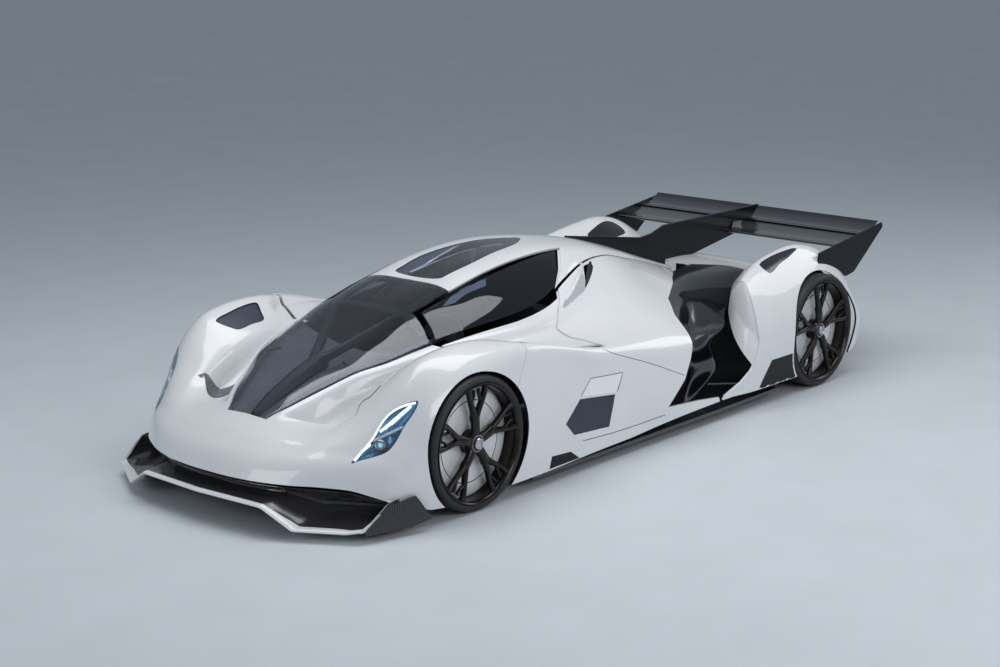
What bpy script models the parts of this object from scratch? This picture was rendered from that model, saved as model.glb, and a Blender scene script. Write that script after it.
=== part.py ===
"""Closed sports prototype race car, in metres.

+X points forward, +Y to the car's left, +Z up. The origin is on the ground below the middle of the car's length.
The body follows two tables of cross-sections: HULL for the nose, fenders and side pods, and CABIN for the canopy.
Every panel is a stretch of those surfaces, so neighbours meet along the same lines.
"""

import math

import bmesh
import bpy
import numpy as np
from mathutils import Matrix, Vector

# Stations along the car are measured from a datum this far behind the middle of its length
DATUM_X = -0.027

# Axles and wheels
FRONT_AXLE_X = 1.515
REAR_AXLE_X = -1.635
TYRE_RADIUS = 0.341
SIDEWALL = 0.041
RIM_RADIUS = TYRE_RADIUS - SIDEWALL
TYRE_WIDTH = 0.310
TYRE_OUTER_Y = 0.955
WHEEL_Y = TYRE_OUTER_Y - TYRE_WIDTH / 2
HUB_RADIUS = 0.060
AXLE_RADIUS = 0.032
SPOKES = 5
WHEEL_SEGMENTS = 32
DISC_RADIUS = RIM_RADIUS - 0.050

# Panels
PANEL = 0.012
GLASS = 0.006
SHUT_LINE = 0.0015
SEAM = 0.025
SEAM_V = 0.29
DOOR_GAP = 0.018
LEDGE = 0.015
SEAT_GAP = 0.0003
ARCH_GAP = 0.017
ARCH_RADIUS = TYRE_RADIUS + ARCH_GAP

SIDES = (("left", 1), ("right", -1))

# Lines across the body where panels meet
LIP_S = 2.436
GLASS_TIP_X = 2.168
CLIP_CUT_X = 1.140
CLIP_CUT_ARCH_X = 1.300
PILLAR_BASE_X = 1.330
PILLAR_TOP_X = 1.270
HEADER_X = 1.000
ROOF_FRONT_X = 0.985
DOOR_REAR_X = 0.410
DOOR_BASE_REAR_X = 0.330
DOOR_TOP_REAR_X = 0.060
SPINE_END_X = -1.300
DOOR_SILL_V = 2.35

# Floor and plank
FLOOR_Z = 0.050
FLOOR_T = 0.020
FLOOR_REAR_X = -1.800
SPLITTER_REAR_X = 2.000
TUB_BOTTOM_Z = FLOOR_Z + FLOOR_T + SEAT_GAP

# Tub, uprights and stub axles
TUB_WALL = 0.035
TUB_REAR_X = -0.180
DASH_Z = 0.480
POWER_TOP_Z = 0.555
CRASH_REAR_X = -2.120
MOUTH_FRONT_X = 1.100
KINGPIN_Y = 0.770
UPRIGHT_LOW_Z = 0.230
UPRIGHT_HIGH_Z = 0.450
STUB_END_Y = 0.850

# The nose curves back towards its sides by bow * (y / BOW_Y) ** BOW_POWER
BOW_Y = 0.853
BOW_POWER = 2.45

# Columns: station, bow, then y and z of sill, flank, edge, crest, shoulder, dip and base, then z on the centre line
HULL = np.array([
    [2.436, 0.370, 0.860, 0.160, 0.800, 0.190, 0.720, 0.222, 0.600, 0.235, 0.500, 0.235, 0.400, 0.235, 0.130, 0.235, 0.235],
    [2.400, 0.350, 0.870, 0.158, 0.840, 0.240, 0.760, 0.290, 0.620, 0.300, 0.510, 0.298, 0.400, 0.295, 0.130, 0.295, 0.300],
    [2.300, 0.300, 0.885, 0.150, 0.900, 0.280, 0.830, 0.370, 0.680, 0.385, 0.540, 0.382, 0.400, 0.375, 0.130, 0.385, 0.390],
    [2.168, 0.225, 0.900, 0.120, 0.930, 0.300, 0.880, 0.440, 0.740, 0.490, 0.580, 0.462, 0.420, 0.435, 0.130, 0.458, 0.465],
    [2.050, 0.155, 0.920, 0.090, 0.945, 0.320, 0.905, 0.500, 0.770, 0.580, 0.600, 0.525, 0.450, 0.460, 0.200, 0.520, 0.530],
    [1.900, 0.075, 0.930, 0.080, 0.955, 0.350, 0.920, 0.570, 0.780, 0.680, 0.600, 0.610, 0.470, 0.505, 0.270, 0.585, 0.600],
    [1.750, 0.020, 0.940, 0.075, 0.965, 0.380, 0.930, 0.630, 0.780, 0.765, 0.590, 0.675, 0.480, 0.550, 0.340, 0.645, 0.660],
    [1.600, 0.000, 0.950, 0.075, 0.970, 0.420, 0.935, 0.680, 0.780, 0.800, 0.600, 0.708, 0.490, 0.590, 0.400, 0.675, 0.705],
    [1.450, 0.000, 0.950, 0.075, 0.970, 0.450, 0.935, 0.710, 0.780, 0.810, 0.625, 0.720, 0.515, 0.625, 0.434, 0.706, 0.735],
    [1.300, 0.000, 0.950, 0.075, 0.970, 0.460, 0.935, 0.730, 0.790, 0.800, 0.660, 0.715, 0.550, 0.655, 0.462, 0.731, 0.757],
    [1.140, 0.000, 0.950, 0.075, 0.965, 0.460, 0.935, 0.736, 0.820, 0.765, 0.700, 0.700, 0.580, 0.680, 0.490, 0.750, 0.775],
    [0.950, 0.000, 0.945, 0.075, 0.955, 0.440, 0.930, 0.705, 0.850, 0.715, 0.740, 0.682, 0.625, 0.690, 0.518, 0.765, 0.798],
    [0.750, 0.000, 0.940, 0.080, 0.950, 0.420, 0.925, 0.660, 0.850, 0.665, 0.760, 0.665, 0.660, 0.695, 0.540, 0.778, 0.815],
    [0.500, 0.000, 0.935, 0.085, 0.945, 0.400, 0.920, 0.600, 0.830, 0.645, 0.750, 0.670, 0.660, 0.710, 0.522, 0.812, 0.855],
    [0.250, 0.000, 0.935, 0.090, 0.945, 0.360, 0.920, 0.565, 0.820, 0.640, 0.740, 0.685, 0.630, 0.750, 0.457, 0.883, 0.930],
    [0.000, 0.000, 0.930, 0.100, 0.945, 0.330, 0.920, 0.530, 0.800, 0.635, 0.710, 0.700, 0.580, 0.790, 0.380, 0.930, 0.980],
    [-0.300, 0.000, 0.930, 0.110, 0.940, 0.320, 0.910, 0.500, 0.760, 0.625, 0.655, 0.690, 0.520, 0.775, 0.300, 0.920, 0.960],
    [-0.600, 0.000, 0.920, 0.110, 0.920, 0.320, 0.870, 0.480, 0.680, 0.610, 0.570, 0.665, 0.430, 0.735, 0.220, 0.850, 0.890],
    [-0.950, 0.000, 0.900, 0.110, 0.880, 0.320, 0.800, 0.460, 0.550, 0.600, 0.450, 0.640, 0.330, 0.690, 0.140, 0.760, 0.790],
    [-1.300, 0.000, 0.880, 0.110, 0.850, 0.320, 0.720, 0.450, 0.420, 0.570, 0.310, 0.595, 0.200, 0.622, 0.070, 0.660, 0.680],
])
SILL, FLANK, EDGE, CREST, SHOULDER, DIP, BASE, CENTRE = range(8)

# Columns: x, then y and z of the roof rail, then z on the centre line. The cabin's base is the hull's
CABIN = np.array([
    [2.168, 0.080, 0.466, 0.467],
    [2.050, 0.130, 0.537, 0.542],
    [1.900, 0.180, 0.612, 0.618],
    [1.750, 0.220, 0.675, 0.683],
    [1.600, 0.248, 0.735, 0.744],
    [1.450, 0.265, 0.790, 0.802],
    [1.300, 0.280, 0.845, 0.860],
    [1.140, 0.288, 0.892, 0.908],
    [0.950, 0.290, 0.935, 0.952],
    [0.750, 0.290, 0.977, 0.995],
    [0.500, 0.288, 1.010, 1.028],
    [0.250, 0.283, 1.022, 1.041],
    [0.000, 0.265, 1.010, 1.034],
    [-0.300, 0.215, 0.965, 0.990],
    [-0.600, 0.160, 0.888, 0.910],
    [-0.950, 0.100, 0.780, 0.794],
    [-1.300, 0.050, 0.672, 0.680],
])
RAIL, TOP = 1, 2

# Front edges of the recesses in the hull, as index across the car and station, each from outboard to inboard
NOSE_RECESS = [(0, 1.99), (4.2, 1.99), (4.5, 2.00), (4.8, 2.03), (5.1, 2.065), (5.4, 2.10), (5.7, 2.12), (6, 2.135)]
SIDE_RECESS = [(2.6, 1.02), (3.0, 1.14), (3.2, 1.24), (3.5, 1.300), (3.8, 1.310), (4.1, 1.285), (4.5, 1.22), (5.2, 1.02)]

# Rear fender. Columns: x, then y and z of its outer foot, outer side, crest, inner side and inner foot
FENDER = np.array([
    [-0.700, 0.940, 0.120, 0.955, 0.360, 0.930, 0.500, 0.890, 0.480, 0.880, 0.300],
    [-0.900, 0.945, 0.110, 0.965, 0.400, 0.860, 0.690, 0.780, 0.640, 0.760, 0.480],
    [-1.150, 0.950, 0.110, 0.970, 0.440, 0.800, 0.780, 0.640, 0.690, 0.600, 0.560],
    [-1.400, 0.955, 0.110, 0.972, 0.470, 0.780, 0.825, 0.590, 0.720, 0.540, 0.590],
    [-1.635, 0.955, 0.110, 0.972, 0.480, 0.780, 0.835, 0.580, 0.730, 0.530, 0.600],
    [-1.850, 0.955, 0.130, 0.970, 0.460, 0.790, 0.775, 0.590, 0.700, 0.530, 0.600],
    [-2.000, 0.950, 0.170, 0.962, 0.420, 0.800, 0.680, 0.610, 0.640, 0.540, 0.590],
    [-2.060, 0.940, 0.200, 0.950, 0.400, 0.800, 0.620, 0.620, 0.600, 0.550, 0.580],
])

# Wing and fin
WING_HALF_SPAN = 0.850
WING_X = -1.950
WING_Z = 0.800
WING_CHORD = 0.290
FLAP_CHORD = 0.210
ENDPLATE_T = 0.012
FIN_T = 0.020

# Front lip. Columns: distance from the centre line, then x and z of its edge
LIP_PLAN = np.array([
    [0.00, 2.514, 0.150], [0.42, 2.483, 0.146], [0.58, 2.435, 0.052], [0.80, 2.300, 0.050], [0.86, 2.262, 0.062],
])

# The headlamp: its outline on the left of the hull, and the directions that it is seen along, across and up
LAMP = [
    (2.156, 0.698, 0.344), (2.052, 0.729, 0.440), (1.991, 0.738, 0.511), (1.945, 0.760, 0.561), (1.897, 0.802, 0.596),
    (1.853, 0.859, 0.616), (1.881, 0.863, 0.566), (1.932, 0.844, 0.501), (1.977, 0.832, 0.435), (2.019, 0.816, 0.392),
    (2.063, 0.783, 0.371), (2.118, 0.737, 0.355),
]
LAMP_WAY = (0.744, 0.612, 0.267)
LAMP_ACROSS = (-0.635, 0.772, 0.0)
LAMP_UP = (-0.206, -0.170, 0.964)

# The roof window's left half: x and y from front to rear
EYE = [(0.945, 0.0), (0.93, 0.15), (0.85, 0.168), (0.70, 0.178), (0.52, 0.160), (0.29, 0.125), (0.15, 0.060), (0.085, 0.0)]

# Corners of the louvred vents: inner front, inner rear, outer front and outer rear, as x and y
FRONT_VENT = [(1.671, 0.588), (1.395, 0.700), (1.690, 0.732), (1.385, 0.750)]
REAR_VENT = [(-1.180, 0.775), (-1.580, 0.775), (-1.205, 0.836), (-1.600, 0.790)]

# The slot behind the door that feeds air to the engine, on the left of the hull
INTAKE = [(-0.005, 0.400, 0.920), (0.052, 0.437, 0.898), (0.131, 0.516, 0.852), (0.030, 0.470, 0.872), (-0.070, 0.400, 0.905)]

# Rear deck. Columns: distance from the centre line, then x of its front edge
DECK_FRONT = np.array([[0.0, -1.315], [0.2, -1.315], [0.3, -1.390], [0.4, -1.420], [0.545, -1.420]])
DECK_REAR_X = -2.040

# The duct behind the side pod, on the left. Each row goes inboard along its wall: front, middle and rear as x, y, z
DUCT = [
    [(-0.08, 0.90, 0.06), (-0.40, 0.80, 0.06), (-0.60, 0.74, 0.06)],
    [(-0.14, 0.90, 0.20), (-0.55, 0.78, 0.18), (-0.86, 0.72, 0.18)],
    [(-0.24, 0.90, 0.32), (-0.52, 0.76, 0.30), (-0.80, 0.74, 0.30)],
    [(-0.30, 0.89, 0.40), (-0.50, 0.74, 0.40), (-0.74, 0.735, 0.41)],
    [(-0.34, 0.86, 0.47), (-0.60, 0.70, 0.48), (-0.90, 0.70, 0.49)],
    [(-0.42, 0.76, 0.555), (-0.72, 0.60, 0.57), (-0.97, 0.57, 0.57)],
    [(-0.62, 0.54, 0.64), (-0.88, 0.45, 0.63), (-1.12, 0.46, 0.59)],
    [(-0.87, 0.34, 0.67), (-1.03, 0.33, 0.65), (-1.20, 0.34, 0.60)],
]

# The canopy's centre beam. Columns: x, z and radius
BEAM = [(2.115, 0.438, 0.026), (2.000, 0.495, 0.042), (1.800, 0.575, 0.052), (1.640, 0.632, 0.052)]

# Joints
DOOR_HINGE = (1.337, 0.468, 0.766)


def clear_scene():
    for obj in list(bpy.data.objects):
        bpy.data.objects.remove(obj, do_unlink=True)


def make_material(name, colour, roughness, metallic=0.0):
    made = bpy.data.materials.new(name)
    made.use_nodes = True
    shader = made.node_tree.nodes["Principled BSDF"]
    shader.inputs["Base Color"].default_value = (*colour, 1.0)
    shader.inputs["Roughness"].default_value = roughness
    shader.inputs["Metallic"].default_value = metallic
    made.diffuse_color = (*colour, 1.0)
    return made


def make_object(name, verts, faces, mat, smooth=True):
    mesh = bpy.data.meshes.new(name)
    mesh.from_pydata([(float(x) + DATUM_X, float(y), float(z)) for x, y, z in verts], [], faces)
    work = bmesh.new()
    work.from_mesh(mesh)
    bmesh.ops.remove_doubles(work, verts=work.verts, dist=1e-5)
    bmesh.ops.recalc_face_normals(work, faces=work.faces)
    work.to_mesh(mesh)
    work.free()
    mesh.validate()
    if smooth:
        mesh.shade_smooth()
        mesh.set_sharp_from_angle(angle=math.radians(35))
    obj = bpy.data.objects.new(name, mesh)
    obj.data.materials.append(mat)
    bpy.context.scene.collection.objects.link(obj)
    return obj


def as_cutter(obj):
    obj.hide_render = True
    obj.display_type = "WIRE"
    return obj


def boolean(obj, other, operation):
    modifier = obj.modifiers.new(operation.title() + " " + other.name, "BOOLEAN")
    modifier.operation = operation
    modifier.solver = "EXACT"
    modifier.object = other
    return obj


def cut(obj, *cutters):
    for cutter in cutters:
        boolean(obj, as_cutter(cutter), "DIFFERENCE")
    return obj


def join(obj, *others):
    for other in others:
        boolean(obj, as_cutter(other), "UNION")
    return obj


def row_at(table, x):
    """The table's row at x, on a smooth curve through its rows."""
    keys = table[:, 0]
    step = -1 if keys[0] > keys[-1] else 1
    k, rows = (keys[::step], table[::step])
    i = int(np.clip(np.searchsorted(k, x) - 1, 0, len(k) - 2))
    h = k[i + 1] - k[i]
    t = np.clip((x - k[i]) / h, 0.0, 1.0)

    def slope(j):
        if j == 0:
            return (rows[1] - rows[0]) / (k[1] - k[0])
        if j == len(k) - 1:
            return (rows[-1] - rows[-2]) / (k[-1] - k[-2])
        before = (rows[j] - rows[j - 1]) / (k[j] - k[j - 1])
        after = (rows[j + 1] - rows[j]) / (k[j + 1] - k[j])
        share = (k[j] - k[j - 1]) / (k[j + 1] - k[j - 1])
        return before * (1 - share) + after * share

    a, b = slope(i) * h, slope(i + 1) * h
    return (
        rows[i] * (2 * t**3 - 3 * t**2 + 1)
        + a * (t**3 - 2 * t**2 + t)
        + rows[i + 1] * (3 * t**2 - 2 * t**3)
        + b * (t**3 - t**2)
    )


def along(points, v):
    """A point on the smooth curve through the points, at index v."""
    i = int(np.clip(math.floor(v), 0, len(points) - 2))
    t = v - i
    p1, p2 = points[i], points[i + 1]
    p0 = points[i - 1] if i > 0 else 2 * p1 - p2
    p3 = points[i + 2] if i + 2 < len(points) else 2 * p2 - p1
    a, b = (p2 - p0) / 2, (p3 - p1) / 2
    return (
        p1 * (2 * t**3 - 3 * t**2 + 1)
        + a * (t**3 - 2 * t**2 + t)
        + p2 * (3 * t**2 - 2 * t**3)
        + b * (t**3 - t**2)
    )


def fade(t):
    """0 below 0, 1 above 1, smooth between them."""
    t = min(max(t, 0.0), 1.0)
    return t * t * (3 - 2 * t)


def recess(s, v):
    """How far the hull's surface is sunk behind the nose and behind the fender's crest."""
    depth = 0.0
    behind = float(np.interp(v, *zip(*NOSE_RECESS))) - s
    if behind > 0 and v > 4.3:
        depth += 0.075 * fade(behind / 0.02) * (1 - fade((behind - 0.05) / 0.60)) * fade((v - 4.4) / 0.5) * fade((6 - v) / 0.5)
    behind = float(np.interp(v, *zip(*SIDE_RECESS))) - s
    if behind > 0 and 2.6 < v < 5.2:
        depth += 0.022 * fade(behind / 0.02) * (1 - fade(behind / 0.50)) * fade((v - 2.9) / 0.5) * fade((5.2 - v) / 0.9)
    return depth


def hull(s, v, side=1):
    """A point of the hull, v from SILL to CENTRE. side is 1 on the left and -1 on the right."""
    row = row_at(HULL, s)
    points = [row[2 + 2 * i : 4 + 2 * i] for i in range(7)] + [np.array([0.0, row[16]])]
    y, z = along(points, v)
    return np.array([s - row[1] * (abs(y) / BOW_Y) ** BOW_POWER, side * y, z - recess(s, v)])


def cabin(x, v, side=1):
    """A point of the canopy and spine, v from 0 at the base over RAIL to TOP on the centre line."""
    base = row_at(HULL, x)[14:16]
    row = row_at(CABIN, x)
    rail, top = row[1:3], np.array([0.0, row[3]])
    foot = np.array([base[0] + 0.25 * (base[0] - rail[0]), base[1] - 1.2 * (rail[1] - base[1])])
    points = [foot, base, rail, top, rail * (-1, 1)]
    y, z = along(points, v + 1)
    return np.array([x, side * y, z])


def fender(x, v, side=1):
    """A point of the rear fender, v from 0 at its outer foot to 4 at its inner foot."""
    row = row_at(FENDER, x)
    y, z = along([row[1 + 2 * i : 3 + 2 * i] for i in range(5)], v)
    return np.array([x, side * y, z])


def spread(low, high, steps):
    return [low + (high - low) * i / steps for i in range(steps + 1)]


def patch(surface, vs, start, end, rows, side=1):
    """Points of a surface between two lines start(v) and end(v), as a grid of rows by vs."""
    return [[surface(start(v) + (end(v) - start(v)) * i / rows, v, side) for v in vs] for i in range(rows + 1)]


def line(pairs):
    """A function of v through (v, value) pairs, straight between them."""
    vs, values = zip(*pairs)
    return lambda v: float(np.interp(v, vs, values))


def grid_faces(rows, columns, start=0):
    faces = []
    for i in range(rows - 1):
        for j in range(columns - 1):
            a, b = start + i * columns + j, start + (i + 1) * columns + j
            faces += [(a, a + 1, b + 1), (a, b + 1, b)]
    return faces


def shell(name, grids, mat, thickness=PANEL):
    """One panel from grids of points that share edges, thickened inwards, towards the car's middle."""
    verts, faces = [], []
    for grid in grids:
        faces += grid_faces(len(grid), len(grid[0]), len(verts))
        verts += [p for row in grid for p in row]
    obj = make_object(name, verts, faces, mat)
    inside = Vector((np.mean(verts, axis=0)[0] + DATUM_X, 0.0, 0.3))
    facing = sum((p.center - inside).dot(p.normal) * p.area for p in obj.data.polygons)
    if facing < 0:
        obj.data.flip_normals()
    solid = obj.modifiers.new("Thickness", "SOLIDIFY")
    solid.thickness = thickness
    solid.offset = -1
    solid.use_even_offset = True
    solid.thickness_clamp = 0
    return obj


def loft(name, sections, mat):
    """A closed solid through rings of points, with flat ends."""
    rings, count = len(sections), len(sections[0])
    verts = [Vector(p) for ring in sections for p in ring]
    faces = [tuple(range(count))[::-1], tuple((rings - 1) * count + j for j in range(count))]
    for i in range(rings - 1):
        for j in range(count):
            a, b = i * count + j, i * count + (j + 1) % count
            c, d = b + count, a + count
            side = (verts[b] - verts[a]).cross(verts[c] - verts[a])
            flat = abs(side.dot(verts[d] - verts[a])) < 1e-5 * side.length
            faces += [(a, b, c, d)] if flat else [(a, b, c), (a, c, d)]
    return make_object(name, verts, faces, mat)


def prism(name, outline, low, high, axis, mat, smooth=False):
    """An outline extruded along an axis. Its points are (x, z) along y, (y, z) along x and (x, y) along z."""
    place = {"x": lambda p, d: (d, p[0], p[1]), "y": lambda p, d: (p[0], d, p[1]), "z": lambda p, d: (p[0], p[1], d)}[axis]
    obj = loft(name, [[place(p, d) for p in outline] for d in (low, high)], mat)
    if not smooth:
        obj.data.shade_flat()
    return obj


def box(name, low, high, mat):
    return prism(name, [(low[0], low[1]), (high[0], low[1]), (high[0], high[1]), (low[0], high[1])], low[2], high[2], "z", mat)


def turned(name, profile, centre, mat, segments=32):
    """A closed (radius, y) profile turned about the Y axis through centre."""
    verts = []
    for k in range(segments):
        a = 2 * math.pi * k / segments
        verts += [(centre[0] + r * math.cos(a), centre[1] + y, centre[2] + r * math.sin(a)) for r, y in profile]
    n = len(profile)
    faces = [
        (k * n + j, k * n + (j + 1) % n, ((k + 1) % segments) * n + (j + 1) % n, ((k + 1) % segments) * n + j)
        for k in range(segments)
        for j in range(n)
    ]
    return make_object(name, verts, faces, mat)


def rod(name, start, end, radius, mat, sides=8):
    """A round bar between two points."""
    start, end = Vector(start), Vector(end)
    turn = (end - start).to_track_quat("Z", "Y").to_matrix()
    ring = [turn @ Vector((radius * math.cos(2 * math.pi * k / sides), radius * math.sin(2 * math.pi * k / sides), 0)) for k in range(sides)]
    return loft(name, [[p + start for p in ring], [p + end for p in ring]], mat)


def drum(name, centre, radius, low_y, high_y, mat, segments=32):
    return rod(name, (centre[0], low_y, centre[2]), (centre[0], high_y, centre[2]), radius, mat, segments)


clear_scene()
WHITE = make_material("white_paint", (0.86, 0.87, 0.88), 0.25)
CARBON = make_material("carbon", (0.03, 0.03, 0.04), 0.35)
GLASS_DARK = make_material("tinted_glass", (0.05, 0.07, 0.11), 0.05)
RUBBER = make_material("tyre", (0.03, 0.03, 0.035), 0.8)
RIM_BLACK = make_material("rim", (0.05, 0.045, 0.04), 0.3, 0.6)
STEEL = make_material("steel", (0.55, 0.55, 0.56), 0.35, 1.0)
LAMP_CLEAR = make_material("lamp", (0.75, 0.85, 0.95), 0.1)
RED = make_material("red_lamp", (0.6, 0.03, 0.03), 0.2)
CLOTH = make_material("seat_cover", (0.06, 0.06, 0.07), 0.9)
CUT = make_material("cutter", (1.0, 0.0, 1.0), 0.5)


def keep_out(name, grids, depth):
    """A cutter round a panel: its outer surface grown by the seat gap, and deep enough to take its whole thickness."""
    obj = shell(name, grids, CUT, depth + SEAT_GAP)
    obj.modifiers["Thickness"].offset = 2 * SEAT_GAP / (depth + SEAT_GAP) - 1
    return as_cutter(obj)


def keep_in(name, grids, thickness, reach=0.30):
    """A cutter from a panel's inner face outwards, for what stands inside against it."""
    depth = thickness + SEAT_GAP
    obj = shell(name, grids, CUT, depth + reach)
    obj.modifiers["Thickness"].offset = 1 - 2 * depth / (depth + reach)
    return as_cutter(obj)


def slab(name, outline, side_y, mat):
    """A plate through an outline of (x, z) points, from side_y[0] to side_y[1]."""
    return prism(name, outline, side_y[0], side_y[1], "y", mat)


def level_base(obj, z=TUB_BOTTOM_Z):
    """Cuts off what lies below z, so that the piece stands flat on the floor."""
    return cut(obj, box(obj.name + "_base_cut", (-3, -2, -1), (3, 2, z), CUT))


LOW_VS = spread(SILL, EDGE, 4) + [2.2, DOOR_SILL_V]
POD_VS = LOW_VS + [3, 3.5, 4, 4.5, 5, 5.5, BASE - SEAM]
OPEN_VS = LOW_VS + [3, 3.5, 4, 4.35, 4.7, 5, 5.35, 5.7, BASE - 2 * SEAM]
DOOR_VS = [DOOR_SILL_V + SEAM_V, 3, 3.5, 4, 4.5, 5, 5.35, 5.7, BASE]
OVER_VS = [0.0, 0.33, 0.67, 1.0, 1.25, 1.5, 1.75, 2.0]
PANE_VS = [0.0, 0.33, 0.67, RAIL - 0.04]
CLIP_CUT = [(SILL, CLIP_CUT_ARCH_X), (FLANK, CLIP_CUT_ARCH_X), (EDGE, CLIP_CUT_X), (DIP, 1.20), (BASE, PILLAR_BASE_X)]
DOOR_FRONT = [(EDGE, CLIP_CUT_X - 0.008), (DIP, 1.192), (BASE, PILLAR_BASE_X)]
POD_TAIL = [
    (0, -0.60), (0.2, -0.58), (0.32, -0.06), (1, -0.22), (2, -0.33), (3, -0.40), (4, -0.54), (4.7, -0.84), (5, -0.93),
    (5.4, -1.13), (6, SPINE_END_X),
]
DOOR_REAR = [(EDGE, DOOR_REAR_X), (CREST, 0.49), (SHOULDER, 0.55), (DIP, 0.56), (5.6, 0.48), (BASE, DOOR_BASE_REAR_X)]
PANE_REAR = [(0, DOOR_BASE_REAR_X), (0.33, 0.20), (RAIL, DOOR_TOP_REAR_X), (TOP, DOOR_TOP_REAR_X)]
PILLAR = [(0, PILLAR_BASE_X), (RAIL, PILLAR_TOP_X), (TOP, PILLAR_TOP_X)]
HEADER = [(RAIL, HEADER_X), (TOP, ROOF_FRONT_X)]
DOOR_TAIL = [(v, x + DOOR_GAP) for v, x in DOOR_REAR[:-1]] + [(BASE, DOOR_BASE_REAR_X + 0.032)]
PANE_TAIL = [(0, DOOR_BASE_REAR_X + 0.032), (0.33, 0.233), (RAIL, DOOR_TOP_REAR_X + 0.022)]


def dense(values, n):
    """The values with each gap between them split in n."""
    return [a + (b - a) * k / n for a, b in zip(values, values[1:]) for k in range(n)] + [values[-1]]


def moved(pairs, by):
    return line([(v, x + by) for v, x in pairs])


def clip_grids(n=1, sides=SIDES):
    grids = []
    nose, inner = dense(OPEN_VS + [6.5, CENTRE], n), dense(OPEN_VS, n)
    lip, floor = line(NOSE_RECESS), moved(NOSE_RECESS, -0.02)
    for _, side in sides:
        grids.append([[hull(s, v, side) for v in nose] for s in dense([LIP_S, 2.41, 2.37, 2.30, 2.23, GLASS_TIP_X], n)])
        grids.append(patch(hull, inner, lambda v: GLASS_TIP_X, lip, 2 * n, side))
        grids.append(patch(hull, inner, lip, floor, n, side))
        grids.append(patch(hull, inner, floor, moved(CLIP_CUT, SHUT_LINE), 8 * n, side))
    return grids


def pod_grids(side, n=1):
    rear = line(DOOR_REAR)
    low, whole = dense(LOW_VS, n), dense(POD_VS, n)
    return [
        patch(hull, low, moved(CLIP_CUT, -SHUT_LINE), rear, 5 * n, side),
        patch(hull, whole, rear, line(POD_TAIL), 9 * n, side),
    ]


def roof_grids(end=SPINE_END_X, n=1):
    grids = []
    start, front = line(PANE_REAR), moved(HEADER, -SHUT_LINE)
    for _, side in SIDES:
        grids.append(patch(cabin, dense(OVER_VS[3:], n), front, start, 6 * n, side))
        grids.append(patch(cabin, dense([2 * SEAM] + OVER_VS[1:], n), start, lambda v: end, 9 * n, side))
    return grids


def glass_grids(n=1):
    grids = []
    edge = [(v, x + (SHUT_LINE if v == 0 else 0)) for v, x in PILLAR]
    for _, side in SIDES:
        low = dense([2.4 * SEAM] + OVER_VS[1:], n)
        grids.append(patch(cabin, low, lambda v: GLASS_TIP_X - 0.006, line(edge), 9 * n, side))
        grids.append(patch(cabin, dense(OVER_VS[3:], n), line(PILLAR), line(HEADER), 2 * n, side))
    return grids


def fender_grids(side, n=1):
    front = line([(0, -0.604), (0.12, -0.625), (0.25, -0.75), (0.5, -0.86), (1, -0.92), (2, -0.95), (4, -1.00)])
    return [patch(fender, spread(0, 4, 14 * n), front, lambda v: -2.06, 10 * n, side)]


def pane_patch(side, inset_x, inset_v, n=1):
    """A stretch of the cabin's side between the door's edges, smaller all round by the insets."""
    vs = spread(inset_v, PANE_VS[-1] - inset_v, 4 * n)
    return patch(cabin, vs, moved(PILLAR, -DOOR_GAP - inset_x), moved(PANE_TAIL, inset_x), 6 * n, side)


def door_grids(side, n=1):
    return [
        patch(hull, dense(DOOR_VS, n), moved(DOOR_FRONT, -DOOR_GAP), line(DOOR_TAIL), 6 * n, side),
        patch(cabin, dense(PANE_VS, n), moved(PILLAR, -DOOR_GAP), line(PANE_TAIL), 6 * n, side),
    ]


def arch(name, x, side, low):
    return drum(name, (x, 0, TYRE_RADIUS), ARCH_RADIUS, side * low, side * 1.10, CUT, 40)


def through(name, outline, way, mat):
    """A bar through an outline of points, long enough both ways along a direction to pass a panel."""
    way = np.array(way)
    return loft(name, [[np.array(p) + way * d for p in outline] for d in (-0.05, 0.06)], mat)


def lamp_outline(side, inset):
    """The headlamp's outline on the hull, moved inwards in the plane that it is seen in."""
    across, up = np.array(LAMP_ACROSS), np.array(LAMP_UP)
    centre = np.mean(LAMP, axis=0)
    flat = shrink([(float((p - centre) @ across), float((p - centre) @ up)) for p in np.array(LAMP)], inset)
    return [(centre + across * a + up * b) * (1, side, 1) for a, b in flat]


def cut_louvres(obj, name, corners, side, count=6):
    """Cuts a row of slots down through a panel between two edges, and leaves its bars."""
    a, b, c, d = (np.array(p) for p in corners)
    for k in range(count):
        t0, t1 = (k + 0.12) / count, (k + 0.72) / count
        quad = [a + (b - a) * t0, c + (d - c) * t0, c + (d - c) * t1, a + (b - a) * t1]
        cut(obj, prism(f"{name}_{k}", [(x, side * y) for x, y in quad], 0.55, 1.0, "z", CUT))


def build_clip():
    clip = shell("front_clip", clip_grids(), WHITE)
    for name, side in SIDES:
        cut(clip, arch(f"clip_arch_{name}", FRONT_AXLE_X, side, 0.85))
        cut_louvres(clip, f"front_vent_{name}", FRONT_VENT, side)
        way = np.array(LAMP_WAY) * (1, side, 1)
        local = clip_grids(1, [(name, side)])
        cut(clip, through(f"lamp_hole_{name}", lamp_outline(side, LEDGE), way, CUT))
        recess_cut = keep_in(f"lamp_rebate_{name}", local, GLASS, 0.05)
        boolean(recess_cut, as_cutter(through(f"lamp_edge_{name}", lamp_outline(side, 0), way, CUT)), "INTERSECT")
        cut(clip, recess_cut)
        lens = shell(f"headlamp_{name}", local, LAMP_CLEAR, GLASS)
        boolean(lens, as_cutter(through(f"lamp_trim_{name}", lamp_outline(side, 0.003), way, CUT)), "INTERSECT")
    level_base(clip)


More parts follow.
